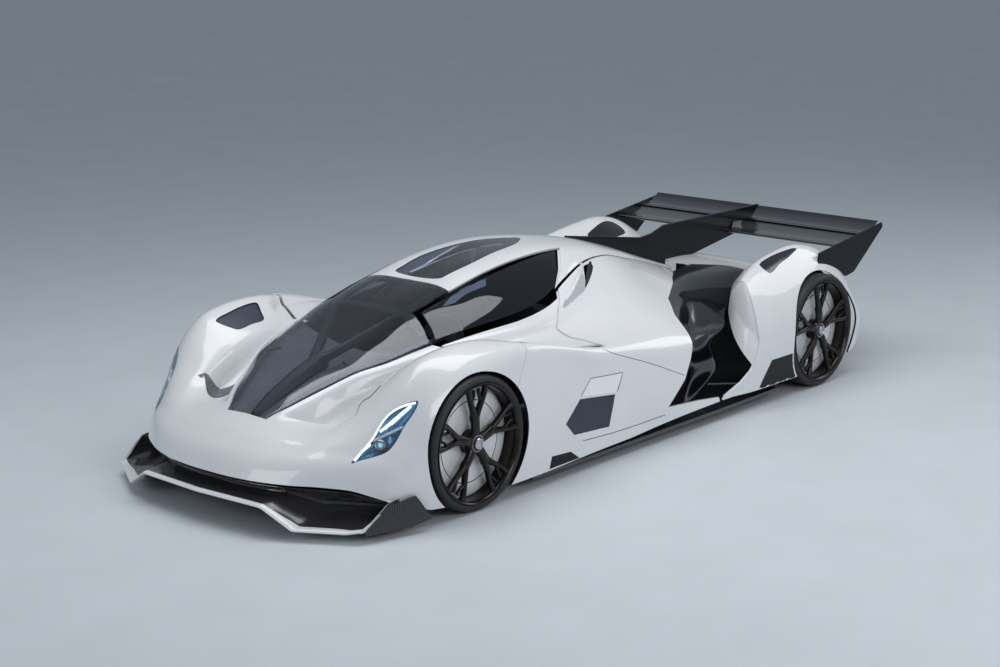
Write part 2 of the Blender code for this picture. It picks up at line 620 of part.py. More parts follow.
def build_body():
    build_clip()
    for name, side in SIDES:
        pod = shell(f"side_pod_{name}", pod_grids(side), WHITE)
        cut(pod, arch(f"pod_arch_{name}", FRONT_AXLE_X, side, 0.60))
        slot = [np.array(p) * (1, side, 1) for p in INTAKE]
        cut(pod, through(f"intake_{name}", slot, (0, side * 0.5, 0.86), CUT))
        level_base(pod)
        fin = shell(f"rear_fender_{name}", fender_grids(side), WHITE)
        cut(fin, arch(f"fender_arch_{name}", REAR_AXLE_X, side, 0.85))
        cut_louvres(fin, f"rear_vent_{name}", REAR_VENT, side)
        level_base(fin)
    shell("windscreen", glass_grids(), GLASS_DARK, GLASS)
    roof = shell("roof_cover", roof_grids(), WHITE)
    eye = EYE + [(x, -y) for x, y in reversed(EYE[1:-1])]
    cut(roof, prism("roof_eye", shrink(eye, LEDGE), 0.8, 1.2, "z", CUT))
    crown = roof_grids()[::2]
    recess_cut = keep_in("roof_rebate", crown, GLASS, 0.05)
    boolean(recess_cut, as_cutter(prism("roof_rebate_edge", eye, 0.8, 1.2, "z", CUT)), "INTERSECT")
    cut(roof, recess_cut)
    glass = shell("roof_glass", crown, GLASS_DARK, GLASS)
    trim = prism("roof_eye_glass", shrink(eye, 0.003), 0.8, 1.2, "z", CUT)
    boolean(glass, as_cutter(trim), "INTERSECT")


def build_doors():
    for name, side in SIDES:
        door = shell(f"door_{name}", door_grids(side), WHITE)
        hole = shell(f"window_{name}", [pane_patch(side, 0.022 + LEDGE, 0.12)], CUT, 0.06)
        hole.modifiers["Thickness"].offset = 0.0
        cut(door, hole, keep_in(f"window_rebate_{name}", [pane_patch(side, 0.022, 0.07)], GLASS, 0.03))
        shell(f"door_glass_{name}", [pane_patch(side, 0.024, 0.078)], GLASS_DARK, GLASS)


def shrink(outline, by):
    """The outline with each edge moved inwards."""
    n = len(outline)
    area = sum(outline[i][0] * outline[(i + 1) % n][1] - outline[(i + 1) % n][0] * outline[i][1] for i in range(n))
    made = []
    for i in range(n):
        a, b, c = (Vector(outline[(i + k) % n]) for k in (-1, 0, 1))
        d1, d2 = (b - a).normalized(), (c - b).normalized()
        n1, n2 = Vector((-d1.y, d1.x)), Vector((-d2.y, d2.x))
        m = (n1 + n2) / (1 + n1.dot(n2))
        made.append(tuple(b + m * by * math.copysign(1, area)))
    return made


def build_floor():
    half = [
        (SPLITTER_REAR_X - SEAT_GAP, 0.84), (1.92, 0.84), (1.90, 0.50), (1.13, 0.50), (1.08, 0.93), (-0.60, 0.93), (-1.20, 0.92),
        (-1.22, 0.60), (FLOOR_REAR_X, 0.60),
    ]
    outline = half + [(x, -y) for x, y in reversed(half)]
    prism("floor", outline, FLOOR_Z, FLOOR_Z + FLOOR_T, "z", CARBON)
    blade, mouth = [], []
    for y in spread(-0.86, 0.86, 24):
        x, z = (float(np.interp(abs(y), LIP_PLAN[:, 0], LIP_PLAN[:, k])) for k in (1, 2))
        ring = [
            (x, z), (x - 0.012, z + 0.010), (x - 0.100, z + 0.012), (SPLITTER_REAR_X, FLOOR_Z + FLOOR_T), (SPLITTER_REAR_X, FLOOR_Z),
            (x - 0.100, z - 0.008), (x - 0.012, z - 0.008),
        ]
        blade.append([(p, y, q) for p, q in ring])
        if abs(y) < 0.8:
            top_x = LIP_S - 0.370 * (abs(y) / BOW_Y) ** BOW_POWER - 0.020
            top_z = float(np.interp(abs(y), [0.60, 0.72, 0.80], [0.235, 0.222, 0.190])) - 0.022
            low_z = z + 0.012 + 2.5 * SEAT_GAP
            rise = top_z - low_z
            front = [(x - 0.100, low_z), (x - 0.150, low_z + 0.35 * rise), (top_x - 0.055, low_z + 0.7 * rise), (top_x - 0.030, top_z)]
            back = [(p - 0.010, q) for p, q in front]
            mouth.append([(p, y, q) for p, q in front + back[::-1]])
    lip = loft("splitter", blade, WHITE)
    tip = LIP_PLAN[-1, 1]
    fence = [(tip, 0.055), (tip, 0.066), (tip - 0.14, 0.12), (SPLITTER_REAR_X, 0.14), (SPLITTER_REAR_X, 0.055)]
    for name, side in SIDES:
        join(lip, slab(f"lip_fence_{name}", fence, sorted((side * 0.848, side * 0.858)), CUT))
    loft("nose_duct", mouth, CARBON)


def build_tub():
    table = [
        (1.80, 0.30, 0.12, 0.40), (1.45, 0.30, 0.10, DASH_Z), (1.20, 0.30, 0.09, DASH_Z), (0.95, 0.48, TUB_BOTTOM_Z, 0.58),
        (TUB_REAR_X, 0.50, TUB_BOTTOM_Z, 0.62),
    ]

    def ring(x, half, low, high, inset):
        y, z0, z1 = half - inset, low + inset, high - inset
        right = [(x, -y + 0.05, z1), (x, -y, z1 - 0.04), (x, -y, z0 + 0.06), (x, -y + 0.06, z0)]
        return [(x, -p[1], p[2]) for p in reversed(right)] + right

    tub = loft("tub", [ring(*row, 0) for row in table], CARBON)
    inner = [(1.74, *table[0][1:])] + table[1:4] + [(TUB_REAR_X + TUB_WALL, *table[4][1:])]
    hollow = loft("tub_hollow", [ring(*row, TUB_WALL) for row in inner], CUT)
    mouth = box("cockpit_mouth", (TUB_REAR_X + TUB_WALL, -0.40, 0.42), (MOUTH_FRONT_X, 0.40, 1.2), CUT)
    hoop_outline = [(-0.44, 0.50), (0.44, 0.50), (0.44, 0.70), (0.22, 1.10), (-0.22, 1.10), (-0.44, 0.70)]
    join(tub, prism("roll_hoop", hoop_outline, TUB_REAR_X, TUB_REAR_X + TUB_WALL, "x", CUT))
    cut(tub, hollow, mouth)
    cut(tub, keep_in("hoop_roof", roof_grids(), PANEL))
    for name, side in SIDES:
        cut(tub, keep_in(f"hoop_pod_{name}", pod_grids(side), PANEL))


def build_inside():
    seat = [(0.45, 0.106), (-0.05, 0.106), (-0.12, 0.62), (-0.06, 0.64), (0.05, 0.22), (0.42, 0.20)]
    slab("seat", seat, (-0.21, 0.21), CLOTH)
    box("power_unit", (-1.10, -0.25, TUB_BOTTOM_Z), (TUB_REAR_X - SEAT_GAP, 0.25, POWER_TOP_Z), STEEL)
    wheel = loft("steering_wheel", [column_ring(0.70, 0.595, 0.022), column_ring(MOUTH_FRONT_X - SEAT_GAP, 0.502, 0.014)], CLOTH)
    tilt = Matrix.Translation((0.72, 0, 0.588)) @ Matrix.Rotation(math.radians(-18), 4, "Y")
    rim = []
    for k in range(16):
        a = 2 * math.pi * k / 16
        ring = []
        for j in range(6):
            b = 2 * math.pi * j / 6
            r = 0.13 + 0.014 * math.cos(b)
            ring.append(tilt @ Vector((0.014 * math.sin(b), r * math.cos(a), 0.85 * r * math.sin(a))))
        rim.append(ring)
    join(wheel, tube("steering_rim", rim, CUT))
    bar = [tilt @ Vector((x, y, z)) for x, y, z in ((-0.012, -0.13, -0.02), (0.012, -0.13, -0.02), (0.012, 0.13, -0.02), (-0.012, 0.13, -0.02))]
    high = [p + tilt.to_3x3() @ Vector((0, 0, 0.05)) for p in bar]
    join(wheel, loft("steering_bar", [bar, high], CUT))


def column_ring(x, z, radius):
    return [(x, radius * math.cos(2 * math.pi * k / 8), z + radius * math.sin(2 * math.pi * k / 8)) for k in range(8)]


def tube(name, rings, mat):
    """A closed ring of rings, such as a torus."""
    n, count = len(rings), len(rings[0])
    verts = [p for ring in rings for p in ring]
    faces = [
        (i * count + j, i * count + (j + 1) % count, ((i + 1) % n) * count + (j + 1) % count, ((i + 1) % n) * count + j)
        for i in range(n)
        for j in range(count)
    ]
    return make_object(name, verts, faces, mat)


def wishbones(name, axle_x, side, inner_y, low_z, high_z):
    """Rods of the upper and lower wishbones, from the chassis to the ball joints above and below the upright."""
    rods = []
    for level, inner_z, face_z, way in (("low", low_z, UPRIGHT_LOW_Z - SEAT_GAP, -1), ("high", high_z, UPRIGHT_HIGH_Z + SEAT_GAP, 1)):
        outer_z = face_z + way * 0.022
        for leg, reach in (("fore", 0.15), ("aft", -0.15)):
            start = (axle_x + reach, side * inner_y, inner_z)
            tip = (axle_x + reach * 0.05, side * (KINGPIN_Y - 0.006), outer_z)
            rods.append(rod(f"{name}_{level}_{leg}", start, tip, 0.011, CUT, 6))
        end = (axle_x, side * KINGPIN_Y)
        rods.append(rod(f"{name}_{level}_ball", (*end, face_z + way * 0.036), (*end, face_z), 0.020, CUT, 10))
    return rods


def build_suspension():
    for name, side in SIDES:
        wall = side * 0.30 + side * SEAT_GAP
        x0, x1 = FRONT_AXLE_X - 0.17, FRONT_AXLE_X + 0.17
        plate = box(f"front_wishbones_{name}", (x0, min(wall, wall + side * 0.016), 0.17), (x1, max(wall, wall + side * 0.016), 0.39), STEEL)
        join(plate, *wishbones(f"front_{name}", FRONT_AXLE_X, side, 0.308, 0.20, 0.37))
        low_y, high_y = sorted((side * (KINGPIN_Y - 0.03), side * (KINGPIN_Y + 0.03)))
        upright = (FRONT_AXLE_X - 0.04, low_y, UPRIGHT_LOW_Z), (FRONT_AXLE_X + 0.04, high_y, UPRIGHT_HIGH_Z)
        knuckle = box(f"knuckle_{name}", *upright, STEEL)
        join(knuckle, drum(f"front_stub_{name}", (FRONT_AXLE_X, 0, TYRE_RADIUS), AXLE_RADIUS, side * KINGPIN_Y, side * STUB_END_Y, CUT, 12))
    rear = box("rear_suspension", (-1.80, -0.13, TUB_BOTTOM_Z), (-1.10 - SEAT_GAP, 0.13, 0.44), STEEL)
    join(rear, box("crash_box", (CRASH_REAR_X, -0.07, 0.30), (-1.70, 0.07, 0.40), CUT))
    post = box("deck_post", (-1.60, -0.04, 0.42), (-1.50, 0.04, 0.75), CUT)
    join(rear, post)
    cut(rear, keep_in("post_deck", [deck_grid()], PANEL))
    for name, side in SIDES:
        low_y, high_y = sorted((side * (KINGPIN_Y - 0.03), side * (KINGPIN_Y + 0.03)))
        low, high = (REAR_AXLE_X - 0.04, low_y, UPRIGHT_LOW_Z - 0.03), (REAR_AXLE_X + 0.04, high_y, UPRIGHT_HIGH_Z + 0.03)
        join(rear, box(f"rear_upright_{name}", low, high, CUT))
        join(rear, drum(f"rear_stub_{name}", (REAR_AXLE_X, 0, TYRE_RADIUS), AXLE_RADIUS, side * KINGPIN_Y, side * STUB_END_Y, CUT, 12))
        join(rear, drum(f"drive_shaft_{name}", (REAR_AXLE_X, 0, TYRE_RADIUS), 0.018, side * 0.12, side * KINGPIN_Y, CUT, 10))
        join(rear, *wishbones(f"rear_{name}", REAR_AXLE_X, side, 0.12, 0.18, 0.40))


def build_canopy_frame():
    """The dark frame under the glass: a beam from the nose, its two arms, the pillar hoop, the header and their feet."""
    rings = [[(x, y, z) for _, y, z in column_ring(x, z, r)] for x, z, r in BEAM]
    frame = loft("canopy_spine", rings, CARBON)
    across = [1.05, 1.25, 1.5, 1.75, 2.0]
    hoop_rear, hoop_front = [(v, x + 0.004) for v, x in PILLAR], [(v, x + 0.044) for v, x in PILLAR]
    header_rear, header_front = [(v, x + 0.004) for v, x in HEADER], [(v, x + 0.034) for v, x in HEADER]
    grids = []
    for _, side in SIDES:
        grids.append(patch(cabin, [0.33, 0.67] + across, line(hoop_front), line(hoop_rear), 1, side))
        grids.append(patch(cabin, across[:2], line(hoop_rear), line(header_front), 2, side))
        grids.append(patch(cabin, across, line(header_front), line(header_rear), 1, side))
    join(frame, shell("pillar_hoop", grids, CUT, 0.024))
    for name, side in SIDES:
        join(frame, rod(f"beam_arm_{name}", (BEAM[-1][0] + 0.05, side * 0.02, BEAM[-1][1]), (1.297, side * 0.225, 0.835), 0.026, CUT))
        foot = [(1.290, side * 0.22), (1.320, side * 0.22), (1.320, side * 0.26), (1.290, side * 0.26)]
        head = [(x, y + side * 0.12) for x, y in foot]
        strut = loft(f"pillar_foot_{name}", [[(x, y, DASH_Z + SEAT_GAP) for x, y in foot], [(x, y, 0.770) for x, y in head]], CUT)
        join(frame, strut)
    cut(frame, keep_in("frame_glass", glass_grids(), GLASS, 0.05))


def build_wing():
    def foil(x, z, chord, rise, thick):
        c = [(0, 0), (0.08, 0.05), (0.35, 0.04), (0.7, 0.30), (1.0, 1.0), (1.0, 0.9), (0.7, -0.15), (0.35, -0.75), (0.1, -0.6)]
        return [(x - chord * u, z + rise * u * u + thick * (w if w < 0.9 else 0) * 1.0) for u, w in c]

    main = foil(WING_X, WING_Z, WING_CHORD, 0.015, 0.030)
    flap = foil(WING_X - WING_CHORD + 0.03, WING_Z + 0.038, FLAP_CHORD, 0.040, 0.016)
    slab("wing_main", main, (-WING_HALF_SPAN, WING_HALF_SPAN), CARBON)
    slab("wing_flap", flap, (-WING_HALF_SPAN, WING_HALF_SPAN), CARBON)
    for name, side in SIDES:
        plate = [(-1.70, 0.70), (-1.72, 0.79), (-2.453, 0.878), (-2.46, 0.85), (-2.13, 0.615), (-2.04, 0.60)]
        y = side * (WING_HALF_SPAN + SEAT_GAP)
        end = slab(f"endplate_{name}", plate, (y, y + side * ENDPLATE_T), CARBON)
        cut(end, keep_out(f"endplate_foot_{name}", fender_grids(side), 0.20))
    fin = [(-0.34, 0.90), (-0.34, 0.990), (-0.84, 0.912), (-1.07, 0.876), (-1.19, 0.886), (-1.31, 0.919), (-2.349, 0.915), (-2.20, 0.78), (-1.36, 0.66)]
    spine = slab("shark_fin", fin, (-FIN_T / 2, FIN_T / 2), CARBON)
    cut(spine, keep_out("fin_foot", roof_grids(SPINE_END_X - 0.001), 0.30), keep_out("fin_deck", [deck_grid()], 0.10))
    for shape, tag in ((main, "main"), (flap, "flap")):
        cut(spine, slab(f"fin_slot_{tag}", shrink(shape, -SEAT_GAP), (-0.1, 0.1), CUT))


def deck_grid():
    grid = []
    for y in spread(-DECK_FRONT[-1, 0], DECK_FRONT[-1, 0], 14):
        front = float(np.interp(abs(y), DECK_FRONT[:, 0], DECK_FRONT[:, 1]))
        xs = spread(front, DECK_REAR_X, 6)
        grid.append([np.array([x, y, 0.705 - 0.105 * (max(0.0, -1.40 - x) / 0.64) ** 2]) for x in xs])
    return grid


def build_tail():
    shell("rear_deck", [deck_grid()], WHITE)
    kick = [(FLOOR_REAR_X - SEAT_GAP, FLOOR_Z), (-2.00, 0.13), (-2.20, 0.27), (-2.20, 0.29), (-1.99, 0.155), (FLOOR_REAR_X - SEAT_GAP, FLOOR_Z + FLOOR_T)]
    tunnel = prism("diffuser", kick, -0.58, 0.58, "y", CARBON)
    for k, y in enumerate((-0.45, -0.27, -0.09, 0.09, 0.27, 0.45)):
        join(tunnel, slab(f"strake_{k}", [(-1.84, 0.076), (-2.19, 0.12), (-2.19, 0.278), (-1.99, 0.146)], (y - 0.003, y + 0.003), CUT))
    box("tail_lamp", (CRASH_REAR_X - SEAT_GAP - 0.02, -0.06, 0.31), (CRASH_REAR_X - SEAT_GAP, 0.06, 0.39), RED)
    for name, side in SIDES:
        grid = [[along([np.array(p) * (1, side, 1) for p in row], v) for v in spread(0, 2, 6)] for row in DUCT]
        level_base(shell(f"side_duct_{name}", [grid], CARBON, 0.006))


def build_wheels():
    half = TYRE_WIDTH / 2
    tread = [
        (RIM_RADIUS - 0.004, -half + 0.012), (RIM_RADIUS + 0.012, -half), (TYRE_RADIUS - 0.014, -half + 0.004), (TYRE_RADIUS, -half + 0.022),
        (TYRE_RADIUS, half - 0.022), (TYRE_RADIUS - 0.014, half - 0.004), (RIM_RADIUS + 0.012, half), (RIM_RADIUS - 0.004, half - 0.012),
    ]
    bead = RIM_RADIUS - 0.004 - SEAT_GAP
    barrel = [
        (bead - 0.010, -half + 0.004), (bead, -half + 0.004), (bead, half - 0.010), (RIM_RADIUS + 0.003, half - 0.004), (RIM_RADIUS + 0.003, half),
        (bead - 0.010, half), (bead - 0.010, half - 0.02),
    ]
    for end, axle_x in (("front", FRONT_AXLE_X), ("rear", REAR_AXLE_X)):
        for name, side in SIDES:
            centre = (axle_x, side * WHEEL_Y, TYRE_RADIUS)
            turned(f"tyre_{end}_{name}", [(r, side * y) for r, y in tread], centre, RUBBER, WHEEL_SEGMENTS)
            rim = turned(f"rim_{end}_{name}", [(r, side * y) for r, y in barrel], centre, RIM_BLACK, WHEEL_SEGMENTS)
            hub = drum(f"hub_{end}_{name}", centre, HUB_RADIUS, centre[1] + side * 0.02, centre[1] + side * 0.14, CUT, 16)
            disc = drum(f"disc_{end}_{name}", centre, DISC_RADIUS, centre[1] + side * 0.07, centre[1] + side * 0.078, CUT, 24)
            join(rim, hub, disc)
            cut(rim, drum(f"bore_{end}_{name}", centre, AXLE_RADIUS + 0.001, side * 0.80, side * (STUB_END_Y + 0.005), CUT, 12))
            for k in range(SPOKES):
                a = math.radians(90 + 72 * k)
                points = [(0.03, -0.025), (0.13, -0.02), (0.281, -0.075), (0.287, -0.045), (0.19, 0.0), (0.287, 0.045), (0.281, 0.075), (0.13, 0.02), (0.03, 0.025)]
                ring = [(axle_x + r * math.cos(a) - t * math.sin(a), TYRE_RADIUS + r * math.sin(a) + t * math.cos(a)) for r, t in points]
                join(rim, slab(f"spoke_{end}_{name}_{k}", ring, (centre[1] + side * 0.10, centre[1] + side * 0.13), CUT))


def set_pivot(obj, point):
    """Puts the object's origin on its joint's axis."""
    place = Vector((point[0] + DATUM_X, point[1], point[2]))
    obj.data.transform(Matrix.Translation(-place))
    obj.location = place


def set_pivots():
    for name, side in SIDES:
        for piece in ("door", "door_glass"):
            set_pivot(bpy.data.objects[f"{piece}_{name}"], (DOOR_HINGE[0], side * DOOR_HINGE[1], DOOR_HINGE[2]))
        set_pivot(bpy.data.objects[f"knuckle_{name}"], (FRONT_AXLE_X, side * KINGPIN_Y, TYRE_RADIUS))
        for end, axle_x in (("front", FRONT_AXLE_X), ("rear", REAR_AXLE_X)):
            for piece in ("rim", "tyre"):
                set_pivot(bpy.data.objects[f"{piece}_{end}_{name}"], (axle_x, side * WHEEL_Y, TYRE_RADIUS))


build_body()
build_doors()
build_floor()
build_tub()
build_inside()
build_suspension()
build_canopy_frame()
build_wing()
build_tail()
build_wheels()
set_pivots()
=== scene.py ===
"""Looks for the closed sports prototype race car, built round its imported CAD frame, in metres."""

import math

import bmesh
import bpy
import numpy as np
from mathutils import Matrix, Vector
from mathutils.bvhtree import BVHTree


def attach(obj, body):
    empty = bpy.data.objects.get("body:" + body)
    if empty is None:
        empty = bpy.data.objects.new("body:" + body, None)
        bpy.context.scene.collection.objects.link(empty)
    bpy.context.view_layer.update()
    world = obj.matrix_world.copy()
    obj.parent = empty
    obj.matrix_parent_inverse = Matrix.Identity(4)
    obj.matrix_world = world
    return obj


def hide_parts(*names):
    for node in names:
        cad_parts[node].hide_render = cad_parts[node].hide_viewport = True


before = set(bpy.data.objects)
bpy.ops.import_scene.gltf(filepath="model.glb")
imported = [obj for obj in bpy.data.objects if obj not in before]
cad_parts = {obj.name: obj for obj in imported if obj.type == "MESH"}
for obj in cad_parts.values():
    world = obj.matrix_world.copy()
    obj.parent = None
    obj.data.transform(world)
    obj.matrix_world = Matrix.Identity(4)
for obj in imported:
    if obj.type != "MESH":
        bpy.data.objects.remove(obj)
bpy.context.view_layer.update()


# Materials


class Nodes:
    """A new node material with its Principled shader, and short ways to add to it."""

    def __init__(self, name, colour, roughness, metallic=0.0):
        self.made = bpy.data.materials.new(name)
        self.made.use_nodes = True
        self.tree = self.made.node_tree
        self.shader = self.tree.nodes["Principled BSDF"]
        self.set("Base Color", (*colour, 1.0))
        self.set("Roughness", roughness)
        self.set("Metallic", metallic)
        self.made.diffuse_color = (*colour, 1.0)
        self.place = self.add("ShaderNodeTexCoord").outputs["Object"]

    def set(self, socket, value):
        self.shader.inputs[socket].default_value = value

    def add(self, kind, **values):
        node = self.tree.nodes.new(kind)
        for key, value in values.items():
            setattr(node, key, value)
        return node

    def link(self, a, b):
        self.tree.links.new(a, b)

    def noise(self, scale, detail=3.0, stretch=(1, 1, 1)):
        where = self.add("ShaderNodeMapping")
        where.inputs["Scale"].default_value = stretch
        self.link(self.place, where.inputs["Vector"])
        node = self.add("ShaderNodeTexNoise")
        node.inputs["Scale"].default_value = scale
        node.inputs["Detail"].default_value = detail
        self.link(where.outputs["Vector"], node.inputs["Vector"])
        return node.outputs["Fac"]

    def ramp(self, source, stops, socket="Base Color"):
        """Colours along the source, into a socket of the shader."""
        node = self.add("ShaderNodeValToRGB")
        band = node.color_ramp
        while len(band.elements) < len(stops):
            band.elements.new(0.5)
        for element, (place, colour) in zip(band.elements, stops):
            element.position = place
            element.color = (*colour, 1.0)
        self.link(source, node.inputs["Fac"])
        self.link(node.outputs["Color"], self.shader.inputs[socket])

    def math(self, operation, *sources):
        node = self.add("ShaderNodeMath", operation=operation)
        for i, source in enumerate(sources):
            if isinstance(source, (int, float)):
                node.inputs[i].default_value = source
            else:
                self.link(source, node.inputs[i])
        return node.outputs[0]

    def bump(self, height, strength, distance=0.001):
        node = self.add("ShaderNodeBump")
        node.inputs["Strength"].default_value = strength
        node.inputs["Distance"].default_value = distance
        self.link(height, node.inputs["Height"])
        self.link(node.outputs["Normal"], self.shader.inputs["Normal"])


def paint(name, colour, dirt=0.06):
    """Pearl paint under clear lacquer, with a faint orange peel."""
    m = Nodes(name, colour, 0.32)
    m.set("Coat Weight", 0.9)
    m.set("Coat Roughness", 0.04)
    flake = m.noise(900.0, 1.0)
    broad = m.noise(2.2, 2.0)
    mix = m.math("ADD", m.math("MULTIPLY", flake, 0.25), m.math("MULTIPLY", broad, 0.75))
    low = tuple(c * (1 - dirt) for c in colour)
    m.ramp(mix, [(0.35, low), (0.65, colour)])
    m.ramp(flake, [(0.3, (0.28,) * 3), (0.7, (0.38,) * 3)], "Roughness")
    m.bump(m.noise(260.0, 2.0), 0.04, 0.0004)
    return m.made


def weave(name, scale=260.0, gloss=0.16, dark=(0.010, 0.011, 0.014), light=(0.055, 0.058, 0.066), coat=0.8):
    """Twill carbon weave under lacquer: two sets of tows that pass over each other."""
    m = Nodes(name, dark, gloss)
    m.set("Coat Weight", coat)
    m.set("Coat Roughness", 0.05)
    m.set("Specular IOR Level", 0.5 * coat / 0.8)
    split = m.add("ShaderNodeSeparateXYZ")
    m.link(m.place, split.inputs[0])
    x, y, z = split.outputs
    u = m.math("MULTIPLY", m.math("ADD", x, m.math("MULTIPLY", z, 0.7)), scale)
    v = m.math("MULTIPLY", m.math("SUBTRACT", y, m.math("MULTIPLY", z, 0.7)), scale)
    cell = m.math("ADD", m.math("FLOOR", u), m.math("FLOOR", v))
    over = m.math("FLOOR", m.math("MULTIPLY", m.math("PINGPONG", cell, 2.0), 0.75))
    tow_u, tow_v = m.math("PINGPONG", u, 0.5), m.math("PINGPONG", v, 0.5)
    pick = m.math("ADD", m.math("MULTIPLY", over, tow_u), m.math("MULTIPLY", m.math("SUBTRACT", 1.0, over), tow_v))
    tone = m.math("ADD", m.math("MULTIPLY", over, 0.45), m.math("MULTIPLY", pick, 0.8))
    m.ramp(tone, [(0.0, dark), (0.9, light)])
    m.bump(pick, 0.25, 0.0005)
    return m.made


def tinted(name, colour, roughness=0.03):
    """Tinted window sheet: thin, so it lets light straight through."""
    m = Nodes(name, colour, roughness)
    m.set("Transmission Weight", 1.0)
    m.set("IOR", 1.05)
    m.set("Coat Weight", 1.0)
    m.set("Coat Roughness", 0.02)
    m.set("Coat IOR", 1.5)
    m.ramp(m.noise(6.0, 3.0), [(0.4, colour), (0.7, tuple(c * 1.15 for c in colour))])
    return m.made


def plain(name, colour, roughness, metallic=0.0, grain=60.0, vary=0.2, bump=0.1):
    """Moulded or cast surface, mottled a little in tone and gloss."""
    m = Nodes(name, colour, roughness, metallic)
    spots = m.noise(grain, 3.0)
    low, high = tuple(c * (1 - vary) for c in colour), tuple(min(1.0, c * (1 + vary)) for c in colour)
    m.ramp(spots, [(0.3, low), (0.7, high)])
    glossy, matt = roughness * 0.85, min(1.0, roughness * 1.15)
    m.ramp(m.noise(grain * 0.4), [(0.3, (glossy,) * 3), (0.7, (matt,) * 3)], "Roughness")
    m.bump(m.noise(grain * 6), bump, 0.0005)
    return m.made


def glowing(name, colour, strength):
    """Lamp parts that give a little light of their own."""
    m = Nodes(name, colour, 0.25)
    m.set("Emission Color", (*colour, 1.0))
    m.set("Emission Strength", strength)
    m.ramp(m.noise(90.0), [(0.3, tuple(c * 0.85 for c in colour)), (0.7, colour)])
    return m.made


def punched(name, scale):
    """Dark sheet with rows of small round holes, scale of them to the metre."""
    m = Nodes(name, (0.030, 0.036, 0.060), 0.45)
    split = m.add("ShaderNodeSeparateXYZ")
    m.link(m.place, split.inputs[0])
    x, y, _ = split.outputs
    row = m.math("MULTIPLY", y, scale)
    shift = m.math("MULTIPLY", m.math("FLOOR", m.math("PINGPONG", m.math("FLOOR", row), 1.0)), 0.5)
    u = m.math("SUBTRACT", m.math("FRACT", m.math("ADD", m.math("MULTIPLY", x, scale), shift)), 0.5)
    v = m.math("SUBTRACT", m.math("FRACT", row), 0.5)
    away = m.math("SQRT", m.math("ADD", m.math("MULTIPLY", u, u), m.math("MULTIPLY", v, v)))
    m.ramp(away, [(0.26, (0.004, 0.005, 0.009)), (0.34, (0.045, 0.055, 0.095))])
    m.bump(away, 0.6, 0.001)
    return m.made


WHITE = paint("white_paint", (0.78, 0.79, 0.81))
CARBON = weave("carbon_weave", gloss=0.12, dark=(0.004, 0.005, 0.008), light=(0.016, 0.017, 0.024))
CARBON_FINE = weave("carbon_front", scale=330.0, gloss=0.14, dark=(0.006, 0.006, 0.009), light=(0.075, 0.072, 0.078))
CARBON_SATIN = weave("carbon_satin", gloss=0.38, dark=(0.005, 0.006, 0.009), light=(0.020, 0.021, 0.026))
GLASS = tinted("tinted_glass", (0.66, 0.70, 0.80))
GLASS_SIDE = tinted("side_glass", (0.26, 0.30, 0.42))
LENS = tinted("lamp_lens", (0.92, 0.96, 1.0))
MESH = punched("punched_sheet", 105.0)
RUBBER = plain("tyre_rubber", (0.014, 0.014, 0.017), 0.55, grain=220.0, bump=0.25)
RIM = plain("rim_lacquer", (0.022, 0.018, 0.017), 0.18, 0.6, grain=30.0)
STEEL = plain("machined_metal", (0.50, 0.50, 0.52), 0.30, 1.0, grain=120.0)
DARK = plain("dark_lining", (0.007, 0.008, 0.013), 0.55, grain=40.0)
LAMP_DARK = plain("lamp_housing", (0.06, 0.19, 0.31), 0.20, 0.4, grain=60.0)
BLUE_LENS = glowing("lamp_projector", (0.25, 0.75, 0.90), 0.5)
LIGHT = glowing("lamp_light", (0.85, 0.94, 1.0), 1.6)
CARBON_GLOSS = weave("carbon_gloss", gloss=0.10, dark=(0.003, 0.004, 0.008), light=(0.010, 0.012, 0.020))
NAVY = plain("navy_trim", (0.006, 0.011, 0.040), 0.62, grain=50.0, bump=0.0)
SEAM_LINE = plain("seam_shadow", (0.16, 0.17, 0.19), 0.6, grain=60.0, bump=0.0)
PLATE_DARK = plain("plate_navy", (0.014, 0.024, 0.046), 0.4, grain=60.0, vary=0.06, bump=0.0)
PLATE_WHITE = plain("plate_white", (0.86, 0.87, 0.88), 0.35, grain=60.0, vary=0.02, bump=0.0)
CARBON_DEEP = weave("carbon_deep", gloss=0.40, dark=(0.002, 0.002, 0.004), light=(0.007, 0.008, 0.013), coat=0.2)
COCKPIT_GREY = plain("cockpit_grey", (0.15, 0.145, 0.145), 0.7, grain=60.0, vary=0.08, bump=0.0)
# Grey painted shade for the shadowed inner wall of the scoop behind the side window
SHADE = plain("scoop_shade", (0.40, 0.42, 0.45), 0.5, grain=40.0, vary=0.05, bump=0.0)
SEAT = plain("seat_cover", (0.030, 0.030, 0.036), 0.85, grain=300.0, bump=0.4)
RED = plain("red_lens", (0.45, 0.02, 0.02), 0.15, grain=20.0)


# Surfaces of the body: the CAD's sizes, tables and panels, but with finer steps and deeper recesses

# Stations along the car are measured from a datum this far behind the middle of its length
DATUM_X = -0.027

# Axles and wheels
FRONT_AXLE_X = 1.515
REAR_AXLE_X = -1.635
TYRE_RADIUS = 0.341
SIDEWALL = 0.041
RIM_RADIUS = TYRE_RADIUS - SIDEWALL
TYRE_WIDTH = 0.310
TYRE_OUTER_Y = 0.955
WHEEL_Y = TYRE_OUTER_Y - TYRE_WIDTH / 2

# Panels
PANEL = 0.012
GLASS_T = 0.006
SHUT_LINE = 0.0015
SEAM = 0.025
SEAM_V = 0.29
DOOR_GAP = 0.018
ARCH_GAP = 0.017
ARCH_RADIUS = TYRE_RADIUS + ARCH_GAP
SIDES = (("left", 1), ("right", -1))

